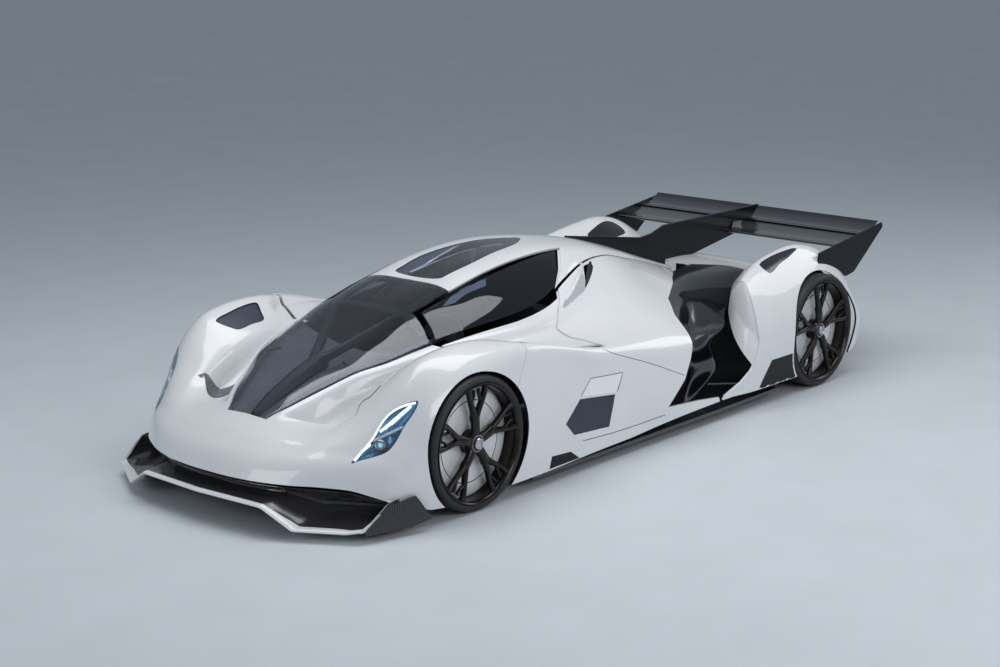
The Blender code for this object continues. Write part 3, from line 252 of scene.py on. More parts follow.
# Lines across the body where panels meet
LIP_S = 2.436
GLASS_TIP_X = 2.168
CLIP_CUT_X = 1.140
CLIP_CUT_ARCH_X = 1.300
PILLAR_BASE_X = 1.330
PILLAR_TOP_X = 1.270
HEADER_X = 1.000
ROOF_FRONT_X = 0.985
DOOR_REAR_X = 0.410
DOOR_BASE_REAR_X = 0.330
DOOR_TOP_REAR_X = 0.060
SPINE_END_X = -1.300
DOOR_SILL_V = 2.35

# Floor
FLOOR_Z = 0.050
SPLITTER_REAR_X = 2.000

# The nose curves back towards its sides by bow * (y / BOW_Y) ** BOW_POWER
BOW_Y = 0.853
BOW_POWER = 2.45

# In mm: station, bow, then y and z of sill, flank, edge, crest, shoulder, dip and base, then z on the centre line
HULL = np.array([
    [2436, 370, 860, 160, 800, 190, 720, 222, 600, 235, 500, 235, 400, 235, 130, 235, 235],
    [2400, 350, 870, 158, 840, 240, 760, 290, 620, 300, 510, 298, 400, 295, 130, 295, 300],
    [2300, 300, 885, 150, 900, 280, 830, 370, 680, 385, 540, 382, 400, 375, 130, 385, 390],
    [2168, 225, 900, 120, 930, 300, 880, 440, 740, 490, 580, 462, 420, 435, 130, 458, 465],
    [2050, 155, 920, 90, 945, 320, 905, 500, 770, 580, 600, 525, 450, 460, 200, 520, 530],
    [1900, 75, 930, 80, 955, 350, 920, 570, 780, 680, 600, 610, 470, 505, 270, 585, 600],
    [1750, 20, 940, 75, 965, 380, 930, 630, 780, 765, 590, 675, 480, 550, 340, 645, 660],
    [1600, 0, 950, 75, 970, 420, 935, 680, 780, 800, 600, 708, 490, 590, 400, 675, 705],
    [1450, 0, 950, 75, 970, 450, 935, 710, 780, 810, 625, 720, 515, 625, 434, 706, 735],
    [1300, 0, 950, 75, 970, 460, 935, 730, 790, 800, 660, 715, 550, 655, 462, 731, 757],
    [1140, 0, 950, 75, 965, 460, 935, 736, 820, 765, 700, 700, 580, 680, 490, 750, 775],
    [950, 0, 945, 75, 955, 440, 930, 705, 850, 715, 740, 682, 625, 690, 518, 765, 798],
    [750, 0, 940, 80, 950, 420, 925, 660, 850, 665, 760, 665, 660, 695, 540, 778, 815],
    [500, 0, 935, 85, 945, 400, 920, 600, 830, 645, 750, 670, 660, 710, 522, 812, 855],
    [250, 0, 935, 90, 945, 360, 920, 565, 820, 640, 740, 685, 630, 750, 457, 883, 930],
    [0, 0, 930, 100, 945, 330, 920, 530, 800, 635, 710, 700, 580, 790, 380, 930, 980],
    [-300, 0, 930, 110, 940, 320, 910, 500, 760, 625, 655, 690, 520, 775, 300, 920, 960],
    [-600, 0, 920, 110, 920, 320, 870, 480, 680, 610, 570, 665, 430, 735, 220, 850, 890],
    [-950, 0, 900, 110, 880, 320, 800, 460, 550, 600, 450, 640, 330, 690, 140, 760, 790],
    [-1300, 0, 880, 110, 850, 320, 720, 450, 420, 570, 310, 595, 200, 622, 70, 660, 680],
]) / 1000
SILL, FLANK, EDGE, CREST, SHOULDER, DIP, BASE, CENTRE = range(8)

# In mm: x, then y and z of the roof rail, then z on the centre line. The cabin's base is the hull's
CABIN = np.array([
    [2168, 80, 466, 467],
    [2050, 130, 537, 542],
    [1900, 180, 612, 618],
    [1750, 220, 675, 683],
    [1600, 248, 735, 744],
    [1450, 265, 790, 802],
    [1300, 280, 845, 860],
    [1140, 288, 892, 908],
    [950, 290, 935, 952],
    [750, 290, 977, 995],
    [500, 288, 1010, 1028],
    [250, 283, 1022, 1041],
    [0, 265, 1010, 1034],
    [-300, 215, 965, 990],
    [-600, 160, 888, 910],
    [-950, 100, 780, 794],
    [-1300, 50, 672, 680],
]) / 1000
RAIL, TOP = 1, 2

# Recesses in the hull: depths, and front edges as index across the car and station, from outboard to inboard
NOSE_DEPTH = 0.100
SIDE_DEPTH = 0.045
NOSE_RECESS = [(0, 1.99), (4.2, 1.99), (4.5, 2.00), (4.8, 2.03), (5.1, 2.065), (5.4, 2.10), (5.7, 2.12), (6, 2.135)]
SIDE_RECESS = [(2.6, 1.02), (3, 1.14), (3.2, 1.24), (3.5, 1.30), (3.8, 1.31), (4.1, 1.285), (4.5, 1.22), (5.2, 1.02)]

# Rear fender, in mm: x, then y and z of its outer foot, outer side, crest, inner side and inner foot
FENDER = np.array([
    [-700, 940, 120, 955, 360, 930, 500, 890, 480, 880, 300],
    [-900, 945, 110, 965, 400, 860, 690, 780, 640, 760, 480],
    [-1150, 950, 110, 970, 440, 800, 780, 640, 690, 600, 560],
    [-1400, 955, 110, 972, 470, 780, 825, 590, 720, 540, 590],
    [-1635, 955, 110, 972, 480, 780, 835, 580, 730, 530, 600],
    [-1850, 955, 130, 970, 460, 790, 775, 590, 700, 530, 600],
    [-2000, 950, 170, 962, 420, 800, 680, 610, 640, 540, 590],
    [-2060, 940, 200, 950, 400, 800, 620, 620, 600, 550, 580],
]) / 1000

# Wing
WING_HALF_SPAN = 0.850
WING_X = -1.950
WING_Z = 0.800
WING_CHORD = 0.290
FLAP_CHORD = 0.210

# Front lip. Columns: distance from the centre line, then x and z of its edge
LIP_PLAN = np.array([
    [0.00, 2.514, 0.150], [0.42, 2.483, 0.146], [0.58, 2.435, 0.052], [0.80, 2.300, 0.050], [0.86, 2.262, 0.062],
])

# The headlamp: its outline on the left of the hull, and the directions that it is seen along, across and up
LAMP = [
    (2.156, 0.698, 0.344), (2.052, 0.729, 0.440), (1.991, 0.738, 0.511), (1.945, 0.760, 0.561), (1.897, 0.802, 0.596),
    (1.853, 0.859, 0.616), (1.881, 0.863, 0.566), (1.932, 0.844, 0.501), (1.977, 0.832, 0.435), (2.019, 0.816, 0.392),
    (2.063, 0.783, 0.371), (2.118, 0.737, 0.355),
]
LAMP_WAY = (0.744, 0.612, 0.267)
LAMP_ACROSS = (-0.635, 0.772, 0.0)
LAMP_UP = (-0.206, -0.170, 0.964)

# The roof window's left half: x and y from front to rear
EYE = [(0.945, 0), (0.93, 0.15), (0.85, 0.168), (0.70, 0.178), (0.52, 0.16), (0.29, 0.125), (0.15, 0.06), (0.085, 0)]

# The slot behind the door that feeds air to the engine, on the left of the hull
INTAKE = [
    (-0.005, 0.400, 0.920), (0.052, 0.437, 0.898), (0.131, 0.516, 0.852), (0.030, 0.470, 0.872), (-0.070, 0.400, 0.905),
]

# Rear deck. Columns: distance from the centre line, then x of its front edge
DECK_FRONT = np.array([[0.0, -1.315], [0.2, -1.315], [0.3, -1.390], [0.4, -1.420], [0.545, -1.420]])
DECK_REAR_X = -2.040


def hermite(start, end, leave, arrive, t):
    """A point on the cubic curve from start to end that has these slopes at its ends."""
    return (
        start * (2 * t**3 - 3 * t**2 + 1)
        + leave * (t**3 - 2 * t**2 + t)
        + end * (3 * t**2 - 2 * t**3)
        + arrive * (t**3 - t**2)
    )


def row_at(table, x):
    """The table's row at x, on a smooth curve through its rows."""
    keys = table[:, 0]
    step = -1 if keys[0] > keys[-1] else 1
    k, rows = keys[::step], table[::step]
    i = int(np.clip(np.searchsorted(k, x) - 1, 0, len(k) - 2))
    h = k[i + 1] - k[i]
    t = np.clip((x - k[i]) / h, 0.0, 1.0)

    def slope(j):
        if j == 0:
            return (rows[1] - rows[0]) / (k[1] - k[0])
        if j == len(k) - 1:
            return (rows[-1] - rows[-2]) / (k[-1] - k[-2])
        before = (rows[j] - rows[j - 1]) / (k[j] - k[j - 1])
        after = (rows[j + 1] - rows[j]) / (k[j + 1] - k[j])
        share = (k[j] - k[j - 1]) / (k[j + 1] - k[j - 1])
        return before * (1 - share) + after * share

    return hermite(rows[i], rows[i + 1], slope(i) * h, slope(i + 1) * h, t)


def along(points, v):
    """A point on the smooth curve through the points, at index v."""
    i = int(np.clip(math.floor(v), 0, len(points) - 2))
    t = v - i
    p1, p2 = points[i], points[i + 1]
    p0 = points[i - 1] if i > 0 else 2 * p1 - p2
    p3 = points[i + 2] if i + 2 < len(points) else 2 * p2 - p1
    return hermite(p1, p2, (p2 - p0) / 2, (p3 - p1) / 2, t)


def fade(t):
    """0 below 0, 1 above 1, smooth between them."""
    t = min(max(t, 0.0), 1.0)
    return t * t * (3 - 2 * t)


def recess(s, v):
    """How far the hull's surface is sunk behind the nose and behind the fender's crest."""
    depth = 0.0
    behind = float(np.interp(v, *zip(*NOSE_RECESS))) - s
    if behind > 0 and v > 4.3:
        runs_out = 1 - fade((behind - 0.05) / 0.66)
        depth += NOSE_DEPTH * min(1.0, behind / 0.018) * runs_out * fade((v - 4.36) / 0.26) * fade((5.80 - v) / 0.16)
    behind = float(np.interp(v, *zip(*SIDE_RECESS))) - s
    if behind > 0 and 2.6 < v < 5.2:
        runs_out = 1 - fade(behind / 0.42)
        depth += SIDE_DEPTH * min(1.0, behind / 0.015) * runs_out * fade((v - 2.9) / 0.35) * fade((5.2 - v) / 0.9)
    return depth


def hull(s, v, side=1):
    """A point of the hull, v from SILL to CENTRE. side is 1 on the left and -1 on the right."""
    row = row_at(HULL, s)
    points = [row[2 + 2 * i : 4 + 2 * i] for i in range(7)] + [np.array([0.0, row[16]])]
    y, z = along(points, v)
    return np.array([s - row[1] * (abs(y) / BOW_Y) ** BOW_POWER, side * y, z - recess(s, v)])


def cabin(x, v, side=1):
    """A point of the canopy and spine, v from 0 at the base over RAIL to TOP on the centre line."""
    base = row_at(HULL, x)[14:16]
    row = row_at(CABIN, x)
    rail, top = row[1:3], np.array([0.0, row[3]])
    foot = np.array([base[0] + 0.25 * (base[0] - rail[0]), base[1] - 1.2 * (rail[1] - base[1])])
    points = [foot, base, rail, top, rail * (-1, 1)]
    y, z = along(points, v + 1)
    return np.array([x, side * y, z])


def fender(x, v, side=1):
    """A point of the rear fender, v from 0 at its outer foot to 4 at its inner foot."""
    row = row_at(FENDER, x)
    y, z = along([row[1 + 2 * i : 3 + 2 * i] for i in range(5)], v)
    return np.array([x, side * y, z])


def spread(low, high, steps):
    return [low + (high - low) * i / steps for i in range(steps + 1)]


def patch(surface, vs, start, end, rows, side=1):
    """Points of a surface between two lines start(v) and end(v), as a grid of rows by vs."""
    return [[surface(start(v) + (end(v) - start(v)) * i / rows, v, side) for v in vs] for i in range(rows + 1)]


def line(pairs):
    """A function of v through (v, value) pairs, straight between them."""
    vs, values = zip(*pairs)
    return lambda v: float(np.interp(v, vs, values))


def grid_faces(rows, columns, start=0):
    faces = []
    for i in range(rows - 1):
        for j in range(columns - 1):
            a, b = start + i * columns + j, start + (i + 1) * columns + j
            faces += [(a, a + 1, b + 1), (a, b + 1, b)]
    return faces


LOW_VS = spread(SILL, EDGE, 4) + [2.2, DOOR_SILL_V]
POD_VS = LOW_VS + [3, 3.5, 4, 4.5, 5, 5.5, BASE - SEAM]
OPEN_VS = LOW_VS + [3, 3.5, 4, 4.35, 4.7, 5, 5.35, 5.7, BASE - 2 * SEAM]
DOOR_VS = [DOOR_SILL_V + SEAM_V, 3, 3.5, 4, 4.5, 5, 5.35, 5.7, BASE]
OVER_VS = [0.0, 0.33, 0.67, 1.0, 1.25, 1.5, 1.75, 2.0]
PANE_VS = [0.0, 0.33, 0.67, RAIL - 0.04]
CLIP_CUT = [(SILL, CLIP_CUT_ARCH_X), (FLANK, CLIP_CUT_ARCH_X), (EDGE, CLIP_CUT_X), (DIP, 1.20), (BASE, PILLAR_BASE_X)]
DOOR_FRONT = [(EDGE, CLIP_CUT_X - 0.008), (DIP, 1.192), (BASE, PILLAR_BASE_X)]
POD_TAIL = [
    (0, -0.60), (0.2, -0.58), (0.32, -0.06), (1, -0.22), (2, -0.33), (3, -0.40), (4, -0.54), (4.7, -0.84), (5, -0.93),
    (5.4, -1.13), (6, SPINE_END_X),
]
DOOR_REAR = [(EDGE, DOOR_REAR_X), (CREST, 0.49), (SHOULDER, 0.55), (DIP, 0.56), (5.6, 0.48), (BASE, DOOR_BASE_REAR_X)]
PANE_REAR = [(0, DOOR_BASE_REAR_X), (0.33, 0.20), (RAIL, DOOR_TOP_REAR_X), (TOP, DOOR_TOP_REAR_X)]
PILLAR = [(0, PILLAR_BASE_X), (RAIL, PILLAR_TOP_X), (TOP, PILLAR_TOP_X)]
HEADER = [(RAIL, HEADER_X), (TOP, ROOF_FRONT_X)]
DOOR_TAIL = [(v, x + DOOR_GAP) for v, x in DOOR_REAR[:-1]] + [(BASE, DOOR_BASE_REAR_X + 0.032)]
PANE_TAIL = [(0, DOOR_BASE_REAR_X + 0.032), (0.33, 0.233), (RAIL, DOOR_TOP_REAR_X + 0.022)]


def dense(values, n):
    """The values with each gap between them split in n."""
    return [a + (b - a) * k / n for a, b in zip(values, values[1:]) for k in range(n)] + [values[-1]]


def moved(pairs, by):
    return line([(v, x + by) for v, x in pairs])


def clip_grids(n=1, sides=SIDES):
    grids = []
    nose, inner = dense(OPEN_VS + [6.5, CENTRE], n), dense(OPEN_VS, n)
    lip, floor = line(NOSE_RECESS), moved(NOSE_RECESS, -0.02)
    for _, side in sides:
        stations = dense([LIP_S, 2.41, 2.37, 2.30, 2.23, GLASS_TIP_X], n)
        grids.append([[hull(s, v, side) for v in nose] for s in stations])
        grids.append(patch(hull, inner, lambda _: GLASS_TIP_X, lip, 2 * n, side))
        grids.append(patch(hull, inner, lip, floor, n, side))
        grids.append(patch(hull, inner, floor, moved(CLIP_CUT, SHUT_LINE), 8 * n, side))
    return grids


def pod_grids(side, n=1):
    rear = line(DOOR_REAR)
    return [
        patch(hull, dense(LOW_VS, n), moved(CLIP_CUT, -SHUT_LINE), rear, 5 * n, side),
        patch(hull, dense(POD_VS, n), rear, line(POD_TAIL), 9 * n, side),
    ]


def roof_grids(n=1):
    grids = []
    start, front = line(PANE_REAR), moved(HEADER, -SHUT_LINE)
    for _, side in SIDES:
        grids.append(patch(cabin, dense(OVER_VS[3:], n), front, start, 6 * n, side))
        grids.append(patch(cabin, dense([2 * SEAM] + OVER_VS[1:], n), start, lambda _: SPINE_END_X, 9 * n, side))
    return grids


def glass_grids(n=1):
    grids = []
    edge = [(v, x + (SHUT_LINE if v == 0 else 0)) for v, x in PILLAR]
    for _, side in SIDES:
        low = dense([2.4 * SEAM] + OVER_VS[1:], n)
        grids.append(patch(cabin, low, lambda _: GLASS_TIP_X - 0.006, line(edge), 9 * n, side))
        grids.append(patch(cabin, dense(OVER_VS[3:], n), line(PILLAR), line(HEADER), 2 * n, side))
    return grids


# The rear fender's front edge, as index across it and x
FENDER_FRONT = line([(0, -0.604), (0.12, -0.625), (0.25, -0.75), (0.5, -0.86), (1, -0.92), (2, -0.95), (4, -1.00)])


def fender_grids(side):
    return [patch(fender, spread(0, 4, 42), FENDER_FRONT, lambda _: FENDER[-1, 0], 30, side)]


def pane_patch(side, inset_x, inset_v, n=1):
    """A stretch of the cabin's side between the door's edges, smaller all round by the insets."""
    vs = spread(inset_v, PANE_VS[-1] - inset_v, 4 * n)
    return patch(cabin, vs, moved(PILLAR, -DOOR_GAP - inset_x), moved(PANE_TAIL, inset_x), 6 * n, side)


def door_grids(side, n=1):
    return [
        patch(hull, dense(DOOR_VS, n), moved(DOOR_FRONT, -DOOR_GAP), line(DOOR_TAIL), 6 * n, side),
        patch(cabin, dense(PANE_VS, n), moved(PILLAR, -DOOR_GAP), line(PANE_TAIL), 6 * n, side),
    ]


def lamp_outline(side, inset):
    """The headlamp's outline on the hull, moved inwards in the plane that it is seen in."""
    across, up = np.array(LAMP_ACROSS), np.array(LAMP_UP)
    centre = np.mean(LAMP, axis=0)
    flat = shrink([(float((p - centre) @ across), float((p - centre) @ up)) for p in np.array(LAMP)], inset)
    return [(centre + across * a + up * b) * (1, side, 1) for a, b in flat]


def shrink(outline, by):
    """The outline with each edge moved inwards."""
    n = len(outline)
    pairs = [(outline[i], outline[(i + 1) % n]) for i in range(n)]
    area = sum(a[0] * b[1] - b[0] * a[1] for a, b in pairs)
    made = []
    for i in range(n):
        a, b, c = (Vector(outline[(i + k) % n]) for k in (-1, 0, 1))
        d1, d2 = (b - a).normalized(), (c - b).normalized()
        n1, n2 = Vector((-d1.y, d1.x)), Vector((-d2.y, d2.x))
        m = (n1 + n2) / (1 + n1.dot(n2))
        made.append(tuple(b + m * by * math.copysign(1, area)))
    return made


# Building pieces

SCENE = bpy.context.scene

# How many times finer the panels' steps are than the CAD's, and the angle from which an edge is drawn sharp
FINE = 4
SHARP = 35.0


def piece(name, verts, faces, mats, body="chassis", slots=None, smooth=SHARP):
    """A mesh piece at stations along the car, that rides on a body. slots gives each face's material."""
    mesh = bpy.data.meshes.new(name)
    mesh.from_pydata([(float(x) + DATUM_X, float(y), float(z)) for x, y, z in verts], [], faces)
    mats = mats if isinstance(mats, (list, tuple)) else [mats]
    for mat in mats:
        mesh.materials.append(mat)
    if slots is not None:
        mesh.polygons.foreach_set("material_index", slots)
    work = bmesh.new()
    work.from_mesh(mesh)
    bmesh.ops.remove_doubles(work, verts=work.verts, dist=1e-5)
    bmesh.ops.recalc_face_normals(work, faces=work.faces)
    work.to_mesh(mesh)
    work.free()
    obj = bpy.data.objects.new(name, mesh)
    SCENE.collection.objects.link(obj)
    if smooth:
        mesh.shade_smooth()
        mesh.set_sharp_from_angle(angle=math.radians(smooth))
    if body:
        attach(obj, body)
    return obj


def settle(obj, *tools):
    """Applies the modifiers and removes the pieces that they used."""
    bpy.context.view_layer.update()
    made = bpy.data.meshes.new_from_object(obj.evaluated_get(bpy.context.evaluated_depsgraph_get()))
    obj.modifiers.clear()
    old, obj.data = obj.data, made
    bpy.data.meshes.remove(old)
    made.set_sharp_from_angle(angle=math.radians(SHARP))
    for tool in tools:
        bpy.data.objects.remove(tool, do_unlink=True)
    return obj


def thicken(obj, thickness, offset=-1.0, even=True):
    solid = obj.modifiers.new("Thickness", "SOLIDIFY")
    solid.thickness = thickness
    solid.offset = offset
    solid.use_even_offset = even
    solid.thickness_clamp = 0
    return obj


def shell(name, grids, mats, thickness=PANEL, body="chassis", slots=None, inwards=True, lined=False):
    """One panel from grids of points that share edges, thickened inwards. slots gives each grid's material."""
    verts, faces, kinds = [], [], []
    for k, grid in enumerate(grids):
        made = grid_faces(len(grid), len(grid[0]), len(verts))
        faces += made
        kinds += [slots[k] if slots else 0] * len(made)
        verts += [p for row in grid for p in row]
    obj = piece(name, verts, faces, mats, body, kinds)
    inside = Vector((np.mean(verts, axis=0)[0] + DATUM_X, 0.0, 0.3))
    if (sum((p.center - inside).dot(p.normal) * p.area for p in obj.data.polygons) < 0) == inwards:
        obj.data.flip_normals()
    thicken(obj, thickness)
    if lined:
        obj.data.materials.append(DARK)
        obj.modifiers[0].material_offset = len(obj.data.materials)
    return obj


def sheet(name, grids, mats, thickness=PANEL, **values):
    """A panel that nothing is cut from."""
    return settle(shell(name, grids, mats, thickness, **values))


def carve(obj, *tools, operation="DIFFERENCE"):
    """Cuts the tools out of the piece, or keeps what lies in them, and removes them."""
    for tool in tools:
        modifier = obj.modifiers.new(operation + tool.name, "BOOLEAN")
        modifier.operation = operation
        modifier.solver = "EXACT"
        modifier.object = tool
    return settle(obj, *tools)


def circle(radius, n):
    """Points round a circle in a plane, n of them."""
    return [(radius * math.cos(a), radius * math.sin(a)) for a in (2 * math.pi * k / n for k in range(n))]


def loft(name, rings, mats, body="chassis", closed=True, smooth=SHARP):
    """A solid through rings of points."""
    count = len(rings[0])
    verts = [p for ring in rings for p in ring]
    faces = []
    for i in range(len(rings) - 1):
        for j in range(count):
            a, b = i * count + j, i * count + (j + 1) % count
            faces += [(a, b, b + count), (a, b + count, a + count)]
    if closed:
        faces += [tuple(range(count))[::-1], tuple((len(rings) - 1) * count + j for j in range(count))]
    return piece(name, verts, faces, mats, body, smooth=smooth)


def prism(name, outline, low, high, axis, mats, body="chassis"):
    """An outline extruded along an axis. Its points are (x, z) along y, (y, z) along x and (x, y) along z."""
    at = "xyz".index(axis)
    return loft(name, [[(*p[:at], d, *p[at:]) for p in outline] for d in (low, high)], mats, body)


def rod(name, points, radius, mats, sides=16):
    """A round bar along points."""
    pts = [Vector(p) for p in points]
    rings = []
    for i, p in enumerate(pts):
        way = (pts[min(i + 1, len(pts) - 1)] - pts[max(i - 1, 0)]).normalized()
        turn = way.to_track_quat("Z", "Y").to_matrix()
        rings.append([p + turn @ Vector((u, w, 0)) for u, w in circle(radius, sides)])
    return loft(name, rings, mats)


def turned(name, profile, centre, mats, body, segments, slots):
    """A (radius, y) profile turned about the Y axis through centre, with one material for each stretch."""
    verts, faces, kinds = [], [], []
    n = len(profile)
    for k in range(segments):
        a = 2 * math.pi * k / segments
        verts += [(centre[0] + r * math.cos(a), centre[1] + y, centre[2] + r * math.sin(a)) for r, y in profile]
        for j in range(n):
            b = (k + 1) % segments
            faces.append((k * n + j, k * n + (j + 1) % n, b * n + (j + 1) % n, b * n + j))
            kinds.append(slots[j] if slots else 0)
    return piece(name, verts, faces, mats, body, kinds)


def arch_bar(name, x, side, inner_y):
    """A bar along Y that cuts a wheel arch, from inner_y outwards."""
    ends = sorted((side * inner_y, side * 1.10))
    return loft(name, [[(x + u, y, TYRE_RADIUS + w) for u, w in circle(ARCH_RADIUS, 96)] for y in ends], DARK, None)


def through(name, outline, way):
    """A bar through an outline of points both ways along a direction."""
    way = np.array(way)
    return loft(name, [[np.array(p) + way * d for p in outline] for d in (-0.05, 0.06)], DARK, None)


def smooth_loop(points, n=6):
    """A closed smooth curve through points, n steps between each two."""
    pts = [np.array(p, float) for p in points]
    made = []
    for i in range(len(pts)):
        p0, p1, p2, p3 = pts[i - 1], pts[i], pts[(i + 1) % len(pts)], pts[(i + 2) % len(pts)]
        made += [hermite(p1, p2, (p2 - p0) / 2, (p3 - p1) / 2, k / n) for k in range(n)]
    return made


def sunk(surface, v, s, side, depth):
    """A point of a surface moved inwards along its normal."""
    e = 1e-3
    du = surface(s + e, v, side) - surface(s - e, v, side)
    dv = surface(s, v + e, side) - surface(s, v - e, side)
    normal = np.cross(du, dv)
    normal = normal / (np.linalg.norm(normal) + 1e-12)
    if normal[2] * 0.6 + normal[1] * side < 0:
        normal = -normal
    return surface(s, v, side) - normal * depth


# Body panels

# Outlines of the front vent and of the two insets in the rear fender, as station and distance from the centre line
VENT_LOOP = [
    (1.725, 0.701), (1.645, 0.704), (1.540, 0.714), (1.447, 0.724), (1.412, 0.717), (1.431, 0.672),
    (1.461, 0.618), (1.560, 0.605), (1.651, 0.598), (1.694, 0.627), (1.724, 0.670),
]
FENDER_INSET = [
    (-1.170, 0.779), (-1.318, 0.765), (-1.483, 0.770), (-1.600, 0.786), (-1.470, 0.812), (-1.334, 0.826),
    (-1.205, 0.841),
]
INNER_INSET = [(-1.373, 0.638), (-1.465, 0.661), (-1.619, 0.683), (-1.70, 0.66), (-1.72, 0.60), (-1.552, 0.584)]


def build_clip():
    clip = shell("front_clip_skin", clip_grids(FINE), WHITE, lined=True)
    tools = []
    for name, side in SIDES:
        tools.append(arch_bar(f"arch_tool_{name}", FRONT_AXLE_X, side, 0.85))
        way = np.array(LAMP_WAY) * (1, side, 1)
        tools.append(through(f"lamp_tool_{name}", smooth_loop(lamp_outline(side, 0.002), 3), way))
        vent = [(x, side * y) for x, y in smooth_loop(VENT_LOOP, 3)]
        tools.append(prism(f"vent_tool_{name}", vent, 0.64, 1.0, "z", DARK, None))
    carve(clip, *tools)
    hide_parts("front_clip")


def build_side(name, side):
    pod = shell(f"side_pod_skin_{name}", pod_grids(side, FINE), WHITE, lined=True)
    slot = smooth_loop([np.array(p) * (1, side, 1) for p in INTAKE], 4)
    arch = arch_bar("arch_tool", FRONT_AXLE_X, side, 0.60)
    carve(pod, arch, through("slot_tool", slot, (0, side * 0.5, 0.86)))
    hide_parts(f"side_pod_{name}")

    skin = shell(f"rear_fender_skin_{name}", fender_grids(side), WHITE, lined=True)
    inset = [(x, side * y) for x, y in smooth_loop(shrink(FENDER_INSET, 0.004), 3)]
    arch = arch_bar("arch_tool", REAR_AXLE_X, side, 0.85)
    carve(skin, arch, prism("vent_tool", inset, 0.70, 1.0, "z", DARK, None))
    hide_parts(f"rear_fender_{name}")


def build_top():
    roof = shell("roof_skin", roof_grids(n=FINE), WHITE, lined=True)
    eye = smooth_loop(EYE + [(x, -y) for x, y in reversed(EYE[1:-1])], 4)
    carve(roof, prism("eye_tool", eye, 0.8, 1.2, "z", DARK, None))
    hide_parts("roof_cover")
    glass = shell("roof_glass_pane", roof_grids(n=FINE)[::2], GLASS, GLASS_T)
    trim = shrink([tuple(p) for p in eye], 0.003)
    carve(glass, prism("eye_trim", trim, 0.8, 1.2, "z", DARK, None), operation="INTERSECT")
    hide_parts("roof_glass")
    screen = sheet("screen_pane", glass_grids(FINE), GLASS, GLASS_T)
    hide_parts("windscreen")


def build_door(name, side):
    body, paints = f"door_{name}", [WHITE, CARBON]
    door = shell(f"door_skin_{name}", door_grids(side, FINE), paints, PANEL, body, [0, 1], lined=True)
    for face in door.data.polygons:
        x, _, z = face.center
        if face.material_index == 1 and x < 0.80 and z < 0.868 - 0.156 * (x - 0.43):
            face.material_index = 0
    hole = thicken(shell("window_tool", [pane_patch(side, 0.024, 0.078, FINE)], DARK, 0.10, None), 0.10, 0.0)
    hole.modifiers[0].offset = 0.0
    carve(door, hole)
    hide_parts(f"door_{name}")
    pane = sheet(f"door_pane_{name}", [pane_patch(side, 0.025, 0.082, FINE)], GLASS_SIDE, GLASS_T, body=body)
    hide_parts(f"door_glass_{name}")


def build_jamb(name, side):
    """The floor of the gap behind the door, so that the shut line reads as a groove."""
    grids = []
    for surface, front, back, vs in (
        (cabin, line(PANE_REAR), line(PANE_TAIL), spread(0.03, RAIL - 0.05, 24)),
        (hull, line(DOOR_REAR), line(DOOR_TAIL), spread(DOOR_SILL_V + SEAM_V, BASE - 0.02, 30)),
    ):
        rows = [[front(v) + (back(v) - 0.006 - front(v)) * k / 4 for k in range(5)] for v in vs]
        grids.append([[sunk(surface, v, s, side, 0.009) for s in row] for v, row in zip(vs, rows)])
    jamb = sheet(f"door_jamb_{name}", grids, WHITE, 0.003)


build_clip()
build_top()
for name, side in SIDES:
    build_side(name, side)
    build_door(name, side)
    build_jamb(name, side)


# Nose: the splitter's edge, the carbon bowl behind it, side blades, lamps and vents

# The splitter's edge beyond LIP_PLAN, where it turns up to the side blade. Columns as there
RIM_END = [(0.872, 2.215, 0.088), (0.882, 2.160, 0.128), (0.886, 2.112, 0.160)]


def lip_row(y):
    return tuple(float(np.interp(y, LIP_PLAN[:, 0], LIP_PLAN[:, k])) for k in (1, 2))


def clip_edge(y):
    """The clip's lower front edge, as the CAD's nose rolls under."""
    x = LIP_S - HULL[0, 1] * (y / BOW_Y) ** BOW_POWER
    return x, float(np.interp(y, [0.0, 0.60, 0.72, 0.80, 0.86], [0.224, 0.223, 0.210, 0.180, 0.158]))


def build_nose(name, side):
    rim = [(lip_row(y)[0], y, lip_row(y)[1]) for y in spread(0.0, LIP_PLAN[-1, 0], 64)]
    rim += [(x, y, z) for y, x, z in RIM_END]
    rings = []
    for x, y, z in rim:
        back = 0.02 + 0.10 * min(1.0, max(0.0, (RIM_END[-1][0] - y) / 0.02))
        section = [(0, 0), (0.003, 0.006), (0.010, 0.010), (0.022, 0.012), (back, 0.008), (back, -0.002),
                   (0.022, -0.007), (0.008, -0.005)]
        rings.append([(x - behind, side * y, z + up) for behind, up in section])
    blade = loft(f"splitter_edge_{name}", rings, WHITE)
    rows = []
    for x, y, z in rim:
        cy = min(y, 0.862)
        cx, cz = clip_edge(cy)
        cx, cz = cx - 0.012, cz - 0.006
        t = min(1.0, max(0.0, (y - 0.42) / 0.20))
        deep = 0.055 + 0.050 * t - 0.095 * max(0.0, (y - 0.80) / 0.086)
        start = np.array([x - 0.014, y, z + 0.0105])
        low = np.array([x - 0.07 - 0.02 * t, y, z + 0.016])
        wall = np.array([cx - deep, (y + cy) / 2, z + 0.45 * (cz - z)])
        high = np.array([cx - 0.5 * deep, cy, cz - 0.22 * (cz - z)])
        path = [start, low, wall, high, np.array([cx, cy, cz])]
        rows.append([along(path, v) * (1, side, 1) for v in spread(0, 4, 20)])
    bowl = sheet(f"nose_bowl_{name}", [rows], CARBON_FINE, 0.003, inwards=False)
    return blade, bowl


def build_under(name, side):
    """The plain underside of the splitter, from behind its edge to the floor."""
    rows = []
    for y in spread(0.0, 0.855, 40):
        x, z = lip_row(y)
        path = [(x - 0.020, z - 0.003), (x - 0.10, z * 0.8 + 0.01), (SPLITTER_REAR_X, FLOOR_Z + 0.004)]
        rows.append([(p, side * y, q) for p, q in path])
    under = sheet(f"splitter_under_{name}", [rows], CARBON_SATIN, 0.003)
    return under


